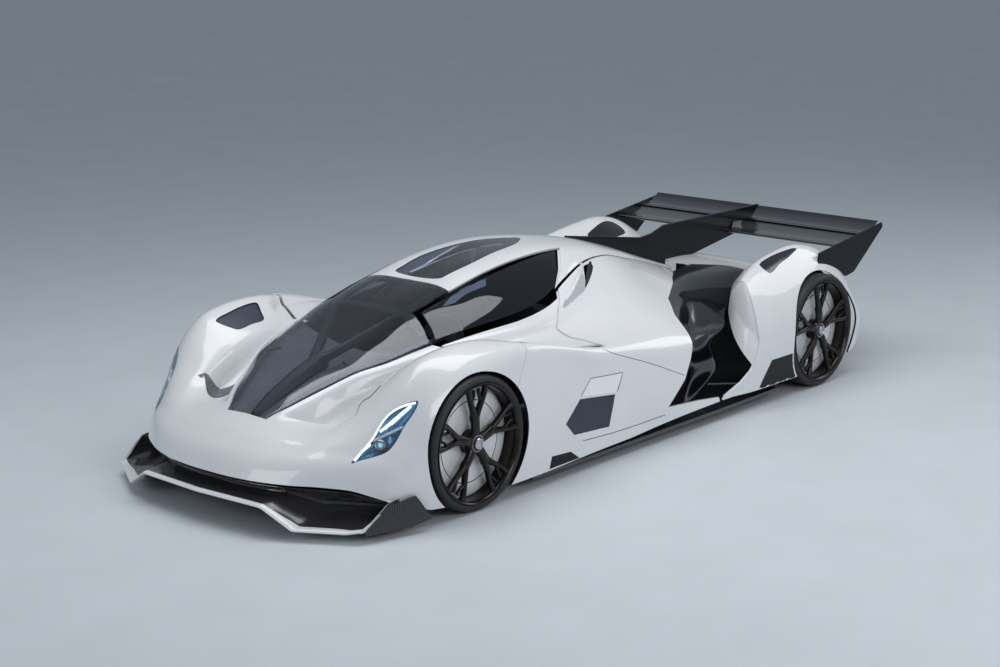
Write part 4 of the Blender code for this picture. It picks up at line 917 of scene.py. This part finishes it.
def build_blade(name, side):
    """The carbon side blade between the splitter's end and the front tyre."""
    outline = [(2.105, 0.157), (2.02, 0.168), (1.940, 0.176), (1.916, 0.148), (1.885, 0.062), (2.00, 0.040),
               (2.235, 0.040), (2.215, 0.076), (2.160, 0.116)]
    ends = [[(x, side * (0.868 + 0.10 * (2.25 - x) / 0.35 * (1 if z < 0.1 else 0.55)), z) for x, z in outline]]
    ends.append([(x, y - side * 0.010, z) for x, y, z in ends[0]])
    blade = loft(f"side_blade_{name}", ends, CARBON_FINE)
    return blade


def build_lamp(name, side):
    """A headlamp's bowl, lens, light guides and projector, drawn in the plane that it is seen in."""
    way = np.array(LAMP_WAY) * (1, side, 1)
    way = way / np.linalg.norm(way)
    across, up = np.array(LAMP_ACROSS) * (1, side, 1), np.array(LAMP_UP) * (1, side, 1)
    centre = np.mean(LAMP, axis=0) * (1, side, 1)

    def at(a, b, depth):
        return centre + across * a + up * b - way * depth

    def flat(point):
        p = np.array(point) * (1, side, 1) - centre
        return float(p @ across), float(p @ up), float(p @ way)

    outline = [flat(p) for p in LAMP]
    loop = smooth_loop(outline, 4)

    def ring(scale, depth):
        return [at(a * scale, b * scale, -d + depth) for a, b, d in loop]

    rings = [ring(*row) for row in ((0.985, 0.007), (0.95, 0.028), (0.80, 0.045), (0.3, 0.050), (0.01, 0.050))]
    bowl = loft(f"lamp_bowl_{name}", rings, LAMP_DARK, closed=False)
    settle(thicken(bowl, 0.0015, 1.0, False))
    lens = shell(f"lamp_lens_{name}", clip_grids(FINE, [(name, side)]), LENS, GLASS_T * 0.5)
    tool = through("lens_tool", smooth_loop(lamp_outline(side, 0.003), 4), way)
    carve(lens, tool, operation="INTERSECT")
    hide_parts(f"headlamp_{name}")

    def depth_at(a, b):
        near = min(loop, key=lambda p: (p[0] - a) ** 2 + (p[1] - b) ** 2)
        return -near[2] + 0.004

    def bar(tag, points, radius, mat, depth=0.012, sides=12):
        path = [at(a, b, depth_at(a, b) + depth) for a, b in points]
        rod(f"lamp_{tag}_{name}", path, radius, mat, sides=sides)

    # The guide along the inner edge, the bar between the two chambers, and the three guides above it
    inner = [flat(p)[:2] for p in LAMP[:6]]
    bar("guide", flow([(a * 0.90, b * 0.92) for a, b in inner], 4), 0.0052, LIGHT)
    left, right = (np.array(flat(p)[:2]) for p in ((2.045, 0.743, 0.436), (1.939, 0.838, 0.499)))
    bar("divider", [left, (left + right) / 2, right], 0.0065, WHITE, 0.008)
    low, high = (np.array(flat(p)[:2]) for p in ((2.005, 0.765, 0.482), (1.880, 0.843, 0.598)))
    slant = np.array([0.9, 0.42])
    guides = [(0.0, 0.80, -0.013, 0.0056), (0.06, 0.95, 0.001, 0.0062), (0.20, 0.86, 0.015, 0.0056)]
    for k, (start, end, shift, size) in enumerate(guides):
        path = [low + (high - low) * t + slant * shift * (1 - 0.5 * t) for t in spread(start, end, 8)]
        bar(f"led_{k}", [tuple(p) for p in path], size, LIGHT, 0.014, 10)

    spot = flat((2.030, 0.775, 0.418))[:2]
    for tag, wide, narrow, depth, mat in (
        ("ring", 0.026, 0.022, 0.014, STEEL),
        ("core", 0.019, 0.003, 0.012, BLUE_LENS),
    ):
        rings = []
        for radius, behind in ((wide, 0.022), (wide, 0.004), (narrow, 0.0)):
            deep = depth_at(*spot) + depth + behind
            rings.append([at(spot[0] + u, spot[1] + w, deep) for u, w in circle(radius, 32)])
        loft(f"lamp_{tag}_{name}", rings, mat)
    low = [flat(p) for p in ((2.135, 0.705, 0.352), (2.095, 0.718, 0.392), (2.060, 0.735, 0.420))]
    bar("low_led", [p[:2] for p in low], 0.0055, LIGHT, 0.014)


def laid(name, tree, outline, place, way, lift, mat, thickness=0.0015):
    """A thin sheet inside a flat outline, dropped onto the surface in tree and raised by lift."""
    work = bmesh.new()
    work.faces.new([work.verts.new(place(u, w)) for u, w in outline])
    for _ in range(4):
        bmesh.ops.triangulate(work, faces=work.faces)
        bmesh.ops.subdivide_edges(work, edges=[e for e in work.edges if e.calc_length() > 0.02], cuts=1)
    bmesh.ops.triangulate(work, faces=work.faces)
    way, shift = Vector(way).normalized(), Vector((DATUM_X, 0, 0))
    missed = []
    for v in work.verts:
        hit = tree.ray_cast(v.co + shift, way)[0]
        if hit is None:
            missed.append(v)
        else:
            v.co = hit - shift - way * lift
    bmesh.ops.delete(work, geom=missed, context="VERTS")
    index = {v: i for i, v in enumerate(work.verts)}
    faces = [tuple(index[v] for v in f.verts) for f in work.faces]
    obj = piece(name, [v.co.copy() for v in work.verts], faces, mat)
    work.free()
    if sum(p.normal.dot(way) * p.area for p in obj.data.polygons) > 0:
        obj.data.flip_normals()
    return settle(thicken(obj, thickness, -1.0, False))


def ribbon(points, width):
    """The outline of a band of even width along a flat line."""
    pts = [np.array(p) for p in points]
    ways = [pts[min(i + 1, len(pts) - 1)] - pts[max(i - 1, 0)] for i in range(len(pts))]
    off = [np.array([-w[1], w[0]]) / np.linalg.norm(w) * width / 2 for w in ways]
    return [tuple(p + o) for p, o in zip(pts, off)] + [tuple(p - o) for p, o in zip(pts[::-1], off[::-1])]


def flow(points, n=5):
    """A smooth open line through flat points."""
    pts = [np.array(p, float) for p in points]
    return [tuple(along(pts, v)) for v in spread(0, len(pts) - 1, n * (len(pts) - 1))]


def probe(grids):
    """A search tree of a surface, with no object left behind."""
    obj = shell("probe", grids, DARK, 0.001, None)
    work = bmesh.new()
    work.from_mesh(obj.data)
    tree = BVHTree.FromBMesh(work)
    work.free()
    bpy.data.objects.remove(obj, do_unlink=True)
    return tree


def build_laid(name, side):
    """Vent meshes, insets, panel lines and the blank race plates."""
    down, above = (0, 0, -1), lambda x, y: (x, side * y, 2.0)
    inwards, beside = (0, -side, 0), lambda x, z: (x, side * 1.4, z)
    clip, pod, fin = (probe(g) for g in (clip_grids(FINE, [(name, side)]), pod_grids(side, FINE), fender_grids(side)))
    arch = [(REAR_AXLE_X + math.sqrt(0.372**2 - (z - TYRE_RADIUS) ** 2), z) for z in spread(0.272, 0.094, 8)]
    seam = [(0.545, 0.655), (0.493, 0.63), (0.411, 0.582), (0.104, 0.471), (-0.228, 0.336)]
    hatch = [(1.974, 0.57), (1.955, 0.535), (1.82, 0.42), (1.73, 0.432), (1.67, 0.44)]
    panel = [(0.844, 0.295), (0.728, 0.403), (0.423, 0.366), (0.464, 0.197), (0.769, 0.220)]
    plate = [(0.706, 0.414), (0.628, 0.488), (0.362, 0.465), (0.412, 0.377)]
    frame_line = [(0.718, 0.418), (0.634, 0.494), (0.352, 0.470), (0.404, 0.374)]
    sill = [(0.688, 0.170), (0.395, 0.154), (-0.047, 0.150)]
    block = [(0.970, 0.084), (0.952, 0.147), (0.793, 0.136), (0.716, 0.084)]
    foot = [(-0.950, 0.094), (-0.982, 0.152), (-1.054, 0.272)]
    sheets = [
        ("front_vent_mesh", clip, smooth_loop(VENT_LOOP, 3), above, down, -0.009, MESH, "carbon"),
        ("fender_inset", fin, smooth_loop(FENDER_INSET, 3), above, down, -0.006, CARBON_GLOSS, "carbon"),
        ("inner_inset", fin, smooth_loop(INNER_INSET, 3), above, down, 0.0005, CARBON_GLOSS, "carbon"),
        ("hatch_line", clip, ribbon(flow(hatch), 0.003), above, down, 0.0004, SEAM_LINE, "white_paint"),
        ("seam_line", pod, ribbon(flow(seam), 0.004), beside, inwards, 0.0004, SEAM_LINE, "white_paint"),
        ("sill_line", pod, ribbon(flow(sill), 0.005), beside, inwards, 0.0004, SEAM_LINE, "white_paint"),
        ("race_panel", pod, panel, beside, inwards, 0.0006, PLATE_DARK, "white_paint"),
        ("race_plate", pod, plate, beside, inwards, 0.0006, PLATE_WHITE, "white_paint"),
        ("plate_line", pod, ribbon(frame_line, 0.003), beside, inwards, 0.0008, PLATE_DARK, "white_paint"),
        ("sill_block", pod, block, beside, inwards, 0.0010, CARBON_DEEP, "carbon"),
        ("fender_panel", fin, foot + arch, beside, inwards, 0.0010, CARBON_DEEP, "carbon"),
    ]
    for tag, tree, outline, place, way, lift, mat, slot in sheets:
        laid(f"{tag}_{name}", tree, outline, place, way, lift, mat)


made = []
for name, side in SIDES:
    made += build_nose(name, side)
    made.append(build_under(name, side))
    build_blade(name, side)
    build_lamp(name, side)
    build_laid(name, side)
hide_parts("splitter")
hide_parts("nose_duct")


# Wheels


SPOKE_SECTION = [(-1, -1), (-1, 0.25), (-0.62, 0.85), (0, 1.0), (0.62, 0.85), (1, 0.25), (1, -1)]


def arm(name, path, widths, depths, centre, side, turn, body):
    """A spoke's arm: sections across a path of (radius, across, outwards), turned about the wheel's centre."""
    rings = []
    pts = [np.array(p) for p in path]
    last = len(pts) - 1
    c, s = math.cos(turn), math.sin(turn)
    for v in spread(0, last, 4 * last):
        p, q = along(pts, v), along(pts, min(v + 0.05, last)) - along(pts, max(v - 0.05, 0))
        wide, deep = (float(np.interp(v, range(len(pts)), sizes)) for sizes in (widths, depths))
        flat = np.array([-q[1], q[0], 0.0])
        flat = flat / (np.linalg.norm(flat) + 1e-9)
        ring = []
        for a, b in SPOKE_SECTION:
            r, t, y = p + flat * (wide / 2) * a + np.array([0, 0, 1.0]) * (deep / 2) * b
            ring.append((centre[0] + r * c - t * s, centre[1] + side * y, centre[2] + r * s + t * c))
        rings.append(ring)
    return loft(name, rings, RIM, body, smooth=50.0)


# A profile that would meet the wheel's axis stops at this radius
AXIS_R = 0.0005


def build_wheel(end, x, name, side):
    body, tag = f"wheel_{end}_{name}", f"{end}_{name}"
    centre = (x, side * WHEEL_Y, TYRE_RADIUS)
    half, rim_r = TYRE_WIDTH / 2, RIM_RADIUS

    def spun(kind, profile, mats, segments=112, slots=None):
        return turned(f"{kind}_{tag}", [(r, side * y) for r, y in profile], centre, mats, body, segments, slots)

    wall = [
        (rim_r - 0.004, half - 0.012), (rim_r + 0.003, half - 0.004), (rim_r + 0.009, half - 0.001),
        (rim_r + 0.0095, half - 0.0025), (rim_r + 0.011, half - 0.0025), (rim_r + 0.0115, half - 0.0005),
        (rim_r + 0.020, half), (TYRE_RADIUS - 0.014, half - 0.003), (TYRE_RADIUS - 0.007, half - 0.009),
        (TYRE_RADIUS - 0.002, half - 0.017), (TYRE_RADIUS, half - 0.028),
    ]
    tyre = spun("tyre_skin", [(r, -y) for r, y in wall] + wall[::-1], RUBBER)
    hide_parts(f"tyre_{tag}")
    bead = rim_r - 0.0045
    barrel = [
        (bead - 0.008, -half + 0.004), (bead, -half + 0.004), (bead, half - 0.012), (rim_r + 0.002, half - 0.003),
        (rim_r + 0.002, half), (rim_r - 0.002, half), (rim_r - 0.006, half - 0.003), (rim_r - 0.012, half - 0.010),
        (bead - 0.013, half - 0.030), (bead - 0.010, half - 0.060),
    ]
    rim = spun("rim_skin", barrel, RIM)
    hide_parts(f"rim_{tag}")
    cover = [
        (0.060, 0.070), (0.150, 0.078), (0.205, 0.082), (0.2065, 0.0795), (0.2085, 0.0795), (0.210, 0.082),
        (0.262, 0.080), (bead - 0.012, 0.066), (bead - 0.012, 0.062), (0.060, 0.062),
    ]
    disc = spun("wheel_cover", cover, [WHITE, DARK], 96, [0, 0, 1, 1, 1, 0, 0, 0, 0, 0])
    hub = [
        (AXIS_R, 0.08), (0.062, 0.08), (0.060, 0.105), (0.052, 0.126), (0.046, 0.134), (0.034, 0.137), (AXIS_R, 0.137),
    ]
    nave = spun("wheel_nave", hub, RIM, 48)
    nut = [
        (AXIS_R, 0.135), (0.030, 0.135), (0.030, 0.146), (0.027, 0.1505), (0.020, 0.1505), (0.018, 0.146),
        (AXIS_R, 0.146),
    ]
    cap = spun("wheel_nut", nut, STEEL, 12)
    cap.data.shade_flat()
    band = spun("wheel_ring", [(0.0385, 0.134), (0.0415, 0.134), (0.0415, 0.1385), (0.0385, 0.1385)], STEEL, 64)
    made = [disc, nave]
    for k in range(5):
        turn = math.radians(90 + 72 * k)
        path = [(0.040, 0, 0.118), (0.085, 0, 0.126), (0.135, 0, 0.120)]
        arms = [(f"spoke_{tag}_{k}", path, [0.052, 0.046, 0.054], [0.036, 0.028, 0.032])]
        for tip, w in (("a", 1), ("b", -1)):
            path = [
                (0.112, w * 0.004, 0.118), (0.165, w * 0.020, 0.126), (0.228, w * 0.048, 0.132),
                (0.286, w * 0.064, 0.138),
            ]
            arms.append((f"fork_{tag}_{k}{tip}", path, [0.032, 0.029, 0.024, 0.034], [0.030, 0.026, 0.024, 0.024]))
            path = [(0.205, w * 0.038, 0.128), (0.238, w * 0.022, 0.128), (0.270, w * 0.018, 0.128)]
            arms.append((f"hook_{tag}_{k}{tip}", path, [0.020, 0.013, 0.018], [0.018, 0.016, 0.018]))
        made += [arm(*row, centre, side, turn, body) for row in arms]


def build_liner(end, x, name, side):
    """The dark lining of a wheel arch, open downwards."""
    rings = []
    wide, tall = (0.402, 0.366) if end == "front" else (0.372, 0.366)
    for k in range(33):
        a = math.radians(-16 + 212 * k / 32)
        u, w = x + wide * math.cos(a), TYRE_RADIUS + tall * math.sin(a)
        rings.append([(u, side * y, w) for y in (0.62, 0.72, 0.82)])
    sheet(f"arch_lining_{end}_{name}", [rings], DARK, 0.002)


for name, side in SIDES:
    for end, x in (("front", FRONT_AXLE_X), ("rear", REAR_AXLE_X)):
        build_wheel(end, x, name, side)
        build_liner(end, x, name, side)


# Tail: ducts behind the side pods, deck, wing and lamp

# The duct on the left. Each row goes inboard along its wall, from the front to the rear as x, y, z
DUCT_SKIN = [
    [(-0.08, 0.90, 0.062), (-0.40, 0.78, 0.070), (-0.72, 0.70, 0.100), (-0.74, 0.50, 0.11)],
    [(-0.14, 0.90, 0.20), (-0.55, 0.73, 0.19), (-0.897, 0.70, 0.215), (-0.84, 0.48, 0.20)],
    [(-0.24, 0.90, 0.32), (-0.54, 0.74, 0.315), (-0.835, 0.715, 0.315), (-0.78, 0.50, 0.31)],
    [(-0.30, 0.89, 0.40), (-0.53, 0.735, 0.40), (-0.80, 0.72, 0.395), (-0.78, 0.52, 0.40)],
    [(-0.34, 0.86, 0.47), (-0.62, 0.695, 0.47), (-0.94, 0.72, 0.465), (-0.98, 0.56, 0.45)],
    [(-0.42, 0.76, 0.555), (-0.74, 0.60, 0.555), (-1.05, 0.62, 0.55), (-1.19, 0.64, 0.53)],
    [(-0.62, 0.54, 0.64), (-0.93, 0.46, 0.645), (-1.20, 0.48, 0.66), (-1.41, 0.56, 0.675)],
    [(-0.87, 0.345, 0.675), (-1.08, 0.34, 0.69), (-1.26, 0.36, 0.695), (-1.415, 0.42, 0.702)],
    [(-1.14, 0.165, 0.668), (-1.20, 0.19, 0.687), (-1.27, 0.20, 0.696), (-1.312, 0.205, 0.702)],
]


def build_duct(name, side):
    table = [[np.array(p) * (1, side, 1) for p in row] for row in DUCT_SKIN]
    rows = [[along(row, v) for v in spread(0, 3, 36)] for row in table]
    grid = [[along([row[j] for row in rows], v) for j in range(37)] for v in spread(0, 8, 80)]
    skin = sheet(f"side_duct_skin_{name}", [grid], CARBON_GLOSS, 0.004)
    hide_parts(f"side_duct_{name}")
    # A wall that closes the duct behind its opening, black as painted shade for the opening's depth
    back = [(-0.80, 0.49), (-1.00, 0.56), (-1.14, 0.70), (-1.225, 0.79), (-1.245, 0.865)]
    rows = [[(x, side * y, z) for x, y in back] for z in spread(0.075, 0.655, 8)]
    sheet(f"duct_lining_{name}", [rows], DARK, 0.003, inwards=False)


def build_fender_nose(name, side):
    """The rear fender's closed front, from its outer edge round to its inner foot."""
    rows = []
    for t in spread(0.0, 0.97, 24):
        a, b = (fender(FENDER_FRONT(v) - 0.004, v, side) for v in (0.55 + 1.45 * t, 4 - 2 * t))
        swell = [np.array([0.05 * math.sin(math.pi * k) * (1 - t), 0, 0]) for k in spread(0.0, 1.0, 12)]
        rows.append([a * (1 - k) + b * k + out for k, out in zip(spread(0.0, 1.0, 12), swell)])
    nose = sheet(f"fender_nose_{name}", [rows], WHITE, 0.003, inwards=False)


# Across the raised rim by the air slot: offset to its side, and height
SCOOP_SECTION = [(0.018, -0.010), (0.015, 0.002), (0.007, 0.014), (-0.001, 0.018), (-0.006, 0.014), (-0.008, -0.010)]


def build_scoop_lip(name, side):
    """The raised white rim behind the side window, in front of the intake slot, with a dark sheet painted as the shade
    in the slot's opening and a grey band painted as the shade on the scoop's inner wall.
    """
    tree = probe(roof_grids(n=FINE) + pod_grids(side, FINE))
    path = flow([(-0.02, 0.375), (0.05, 0.425), (0.125, 0.470), (0.20, 0.505), (0.28, 0.538), (0.37, 0.568)], 6)
    rings = []
    for i, p in enumerate(path):
        q = np.array(path[min(i + 1, len(path) - 1)]) - np.array(path[max(i - 1, 0)])
        q = np.array([q[1], -q[0]]) / np.linalg.norm(q)
        ring = []
        grow = math.sin(math.pi * (0.06 + 0.88 * i / (len(path) - 1)))
        for off, up in SCOOP_SECTION:
            x, y = np.array(p) + q * off
            hit = tree.ray_cast(Vector((x + DATUM_X, side * y, 2.0)), Vector((0, 0, -1)))[0]
            ring.append((x, side * y, (hit.z if hit else 0.85) + up * (grow if up > 0 else 1)))
        rings.append(ring)
    lip = loft(f"scoop_lip_{name}", rings, WHITE)

    def above(x, y):
        return x, side * y, 2.0

    # A black sheet laid over the slot as painted shade for its dark opening
    slot = [(-0.095, 0.376), (-0.02, 0.44), (0.07, 0.497), (0.165, 0.54), (0.10, 0.492), (0.02, 0.436), (-0.04, 0.398)]
    mouth = laid(f"scoop_mouth_{name}", tree, smooth_loop(slot, 3), above, (0, 0, -1), 0.0032, DARK)
    # A grey band laid on the white pod as painted shade, where the scoop's inner wall lies in shadow
    band = [(0.09, 0.462), (0.18, 0.492), (0.27, 0.530), (0.36, 0.562), (0.432, 0.600), (0.36, 0.590), (0.27, 0.570),
            (0.172, 0.543)]
    floor = laid(f"scoop_floor_{name}", tree, smooth_loop(band, 3), above, (0, 0, -1), 0.0024, SHADE)


def deck_point(x, y):
    """A point of the rear deck, level in front and drooping behind."""
    return np.array([x, y, 0.705 - 0.105 * (max(0.0, -1.40 - x) / 0.64) ** 2])


def build_deck():
    grid = []
    for y in spread(-DECK_FRONT[-1, 0], DECK_FRONT[-1, 0], 44):
        front = float(np.interp(abs(y), DECK_FRONT[:, 0], DECK_FRONT[:, 1]))
        grid.append([deck_point(x, y) for x in spread(front, DECK_REAR_X, 30)])
    deck = sheet("rear_deck_skin", [grid], WHITE, lined=True)
    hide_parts("rear_deck")


# A wing section's outline, as shares of its chord behind the front edge and of its thickness
FOIL = [
    (1.0, 0.9), (0.85, 0.48), (0.7, 0.30), (0.5, 0.12), (0.35, 0.04), (0.18, 0.03), (0.08, 0.05), (0.02, 0.03),
    (0.0, -0.10), (0.02, -0.35), (0.1, -0.6), (0.22, -0.73), (0.35, -0.75), (0.5, -0.58), (0.7, -0.15), (0.85, 0.30),
    (1.0, 0.78),
]


def foil(x, z, chord, rise, thick):
    return [(x - chord * u, z + rise * u * u + thick * w) for u, w in flow(FOIL, 4)]


def build_wing():
    flap = foil(WING_X - WING_CHORD + 0.03, WING_Z + 0.038, FLAP_CHORD, 0.040, 0.016)
    for tag, outline in (("main", foil(WING_X, WING_Z, WING_CHORD, 0.015, 0.030)), ("flap", flap)):
        rings = [[(x, y, z) for x, z in outline] for y in spread(-WING_HALF_SPAN, WING_HALF_SPAN, 16)]
        wing = loft(f"wing_{tag}_skin", rings, CARBON_GLOSS)
        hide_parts(f"wing_{tag}")
    outline = [(-2.02, 0.800), (-2.12, 0.795), (-2.14, 0.838), (-2.04, 0.842)]
    for name, side in SIDES:
        foot = prism(f"wing_bracket_{name}", outline, side * 0.011, side * 0.020, "y", CARBON)


def build_tail_lamp():
    """Rows of small round lights on the rain lamp's rear face."""
    x, middle, pitch = -2.1403, 0.35, 0.022
    for i in range(5):
        for j in range(3):
            y, z = (i - 2) * pitch, middle + (j - 1) * pitch
            steps = ((0.008, -0.001), (0.008, 0.002), (0.005, 0.004))
            rings = [[(x - d, y + u, z + w) for u, w in circle(r, 16)] for r, d in steps]
            loft(f"tail_led_{i}{j}", rings, RED)


build_deck()
build_wing()
build_tail_lamp()
for name, side in SIDES:
    build_duct(name, side)
    build_fender_nose(name, side)
    build_scoop_lip(name, side)


# The dark sheet under the windscreen, its band and the front hoop


def build_scuttle():
    rows = []
    for x in spread(2.145, 1.345, 30):
        y, z = row_at(HULL, x)[14:16]
        t = (2.145 - x) / 0.8
        half = [(y - 0.014, z - 0.018), (y * 0.72, z - 0.034 - 0.02 * t), (y * 0.38, z - 0.046 - 0.04 * t)]
        half.append((0.0, z - 0.050 - 0.05 * t))
        rows.append([(x, p, q) for p, q in half] + [(x, -p, q) for p, q in reversed(half[:-1])])
    scuttle = sheet("cockpit_scuttle", [rows], COCKPIT_GREY, 0.003)


def build_glass_trim(name, side):
    """A navy band inside the glass along its lower edge, and half of the hoop that crosses under it."""
    grid = []
    for x in spread(1.31, 2.10, 32):
        high = 0.20 + 0.35 * fade((x - 1.40) / 0.5)
        grid.append([sunk(cabin, v, x, side, 0.009) for v in spread(0.02, high, 5)])
    band = sheet(f"glass_band_{name}", [grid], NAVY, 0.002)
    path = [sunk(cabin, v, 1.752 - 0.03 * v, side, 0.017) for v in spread(0.05, 1.0, 14)]
    hoop = rod(f"front_hoop_{name}", path, 0.007, CARBON_SATIN)


build_scuttle()
for name, side in SIDES:
    build_glass_trim(name, side)


# Finishes of the CAD nodes, by the name without its side

FINISH = {
    "tub": CARBON_SATIN, "floor": CARBON_SATIN, "splitter": WHITE, "nose_duct": CARBON, "front_clip": WHITE,
    "windscreen": GLASS, "canopy_spine": CARBON_DEEP, "roof_cover": WHITE, "roof_glass": GLASS, "side_pod": WHITE,
    "side_duct": CARBON, "rear_fender": WHITE, "rear_deck": WHITE, "shark_fin": CARBON_DEEP, "wing_main": CARBON,
    "wing_flap": CARBON, "endplate": CARBON_DEEP, "diffuser": CARBON_SATIN, "tail_lamp": RED, "seat": CARBON_SATIN,
    "steering_wheel": SEAT, "power_unit": STEEL, "front_wishbones": STEEL, "rear_suspension": STEEL, "door": WHITE,
    "door_glass": GLASS, "knuckle": STEEL, "rim": RIM, "tyre": RUBBER, "headlamp": GLASS,
}
for name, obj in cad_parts.items():
    for count in range(name.count("_") + 1):
        family = name.rsplit("_", count)[0]
        if family in FINISH:
            obj.data.materials.clear()
            obj.data.materials.append(FINISH[family])
            break


# Floor, light and camera

FLOOR_HALF = 40.0
FLOOR_DROP = 0.0005

mesh = bpy.data.meshes.new("studio_floor")
corners = [(u * FLOOR_HALF, w * FLOOR_HALF, -FLOOR_DROP) for u, w in ((-1, -1), (1, -1), (1, 1), (-1, 1))]
mesh.from_pydata(corners, [], [(0, 1, 2, 3)])
mesh.materials.append(plain("studio_floor", (0.62, 0.66, 0.70), 0.55, grain=3.0, vary=0.02, bump=0.0))
floor = bpy.data.objects.new("studio_floor", mesh)
SCENE.collection.objects.link(floor)


def lamp(name, place, target, size, power):
    """A soft rectangular light at a place, aimed at a target."""
    data = bpy.data.lights.new(name, "AREA")
    data.shape = "RECTANGLE"
    data.size, data.size_y = size
    data.energy = power
    obj = bpy.data.objects.new(name, data)
    SCENE.collection.objects.link(obj)
    obj.location = place
    obj.rotation_euler = (Vector(target) - Vector(place)).to_track_quat("-Z", "Y").to_euler()


lamp("overhead", (0.5, 0.5, 5.5), (0, 0, 0), (7.0, 3.0), 200)
lamp("side", (1.0, 7.0, 3.5), (0, 0.8, 0.5), (6.0, 2.0), 130)
lamp("front", (7.5, -1.0, 3.0), (1.5, 0, 0.5), (3.0, 2.0), 42)
lamp("rear", (-6.5, 3.0, 3.5), (-1.5, 0, 0.6), (4.0, 2.0), 50)

world = bpy.data.worlds.new("studio")
world.use_nodes = True
background = world.node_tree.nodes["Background"]
background.inputs["Color"].default_value = (0.70, 0.78, 0.88, 1.0)
background.inputs["Strength"].default_value = 0.35
SCENE.world = world
SCENE.view_settings.view_transform = "Standard"

# The camera as it was worked out from the photograph: lens and film width in mm, yaw and pitch in degrees
FILM_WIDTH = 36.0
LENS_LENGTH = 72.27
YAW, PITCH = math.radians(-139.663), math.radians(13.375)
CAMERA_PLACE = (8.56167, 7.08499, 3.11947)

camera = bpy.data.objects.new("camera", bpy.data.cameras.new("camera"))
SCENE.collection.objects.link(camera)
camera.data.sensor_width = FILM_WIDTH
camera.data.lens = LENS_LENGTH
ahead = Vector((math.cos(YAW) * math.cos(PITCH), math.sin(YAW) * math.cos(PITCH), -math.sin(PITCH)))
camera.location = CAMERA_PLACE
camera.rotation_euler = ahead.to_track_quat("-Z", "Y").to_euler()
SCENE.camera = camera

bpy.context.view_layer.update()
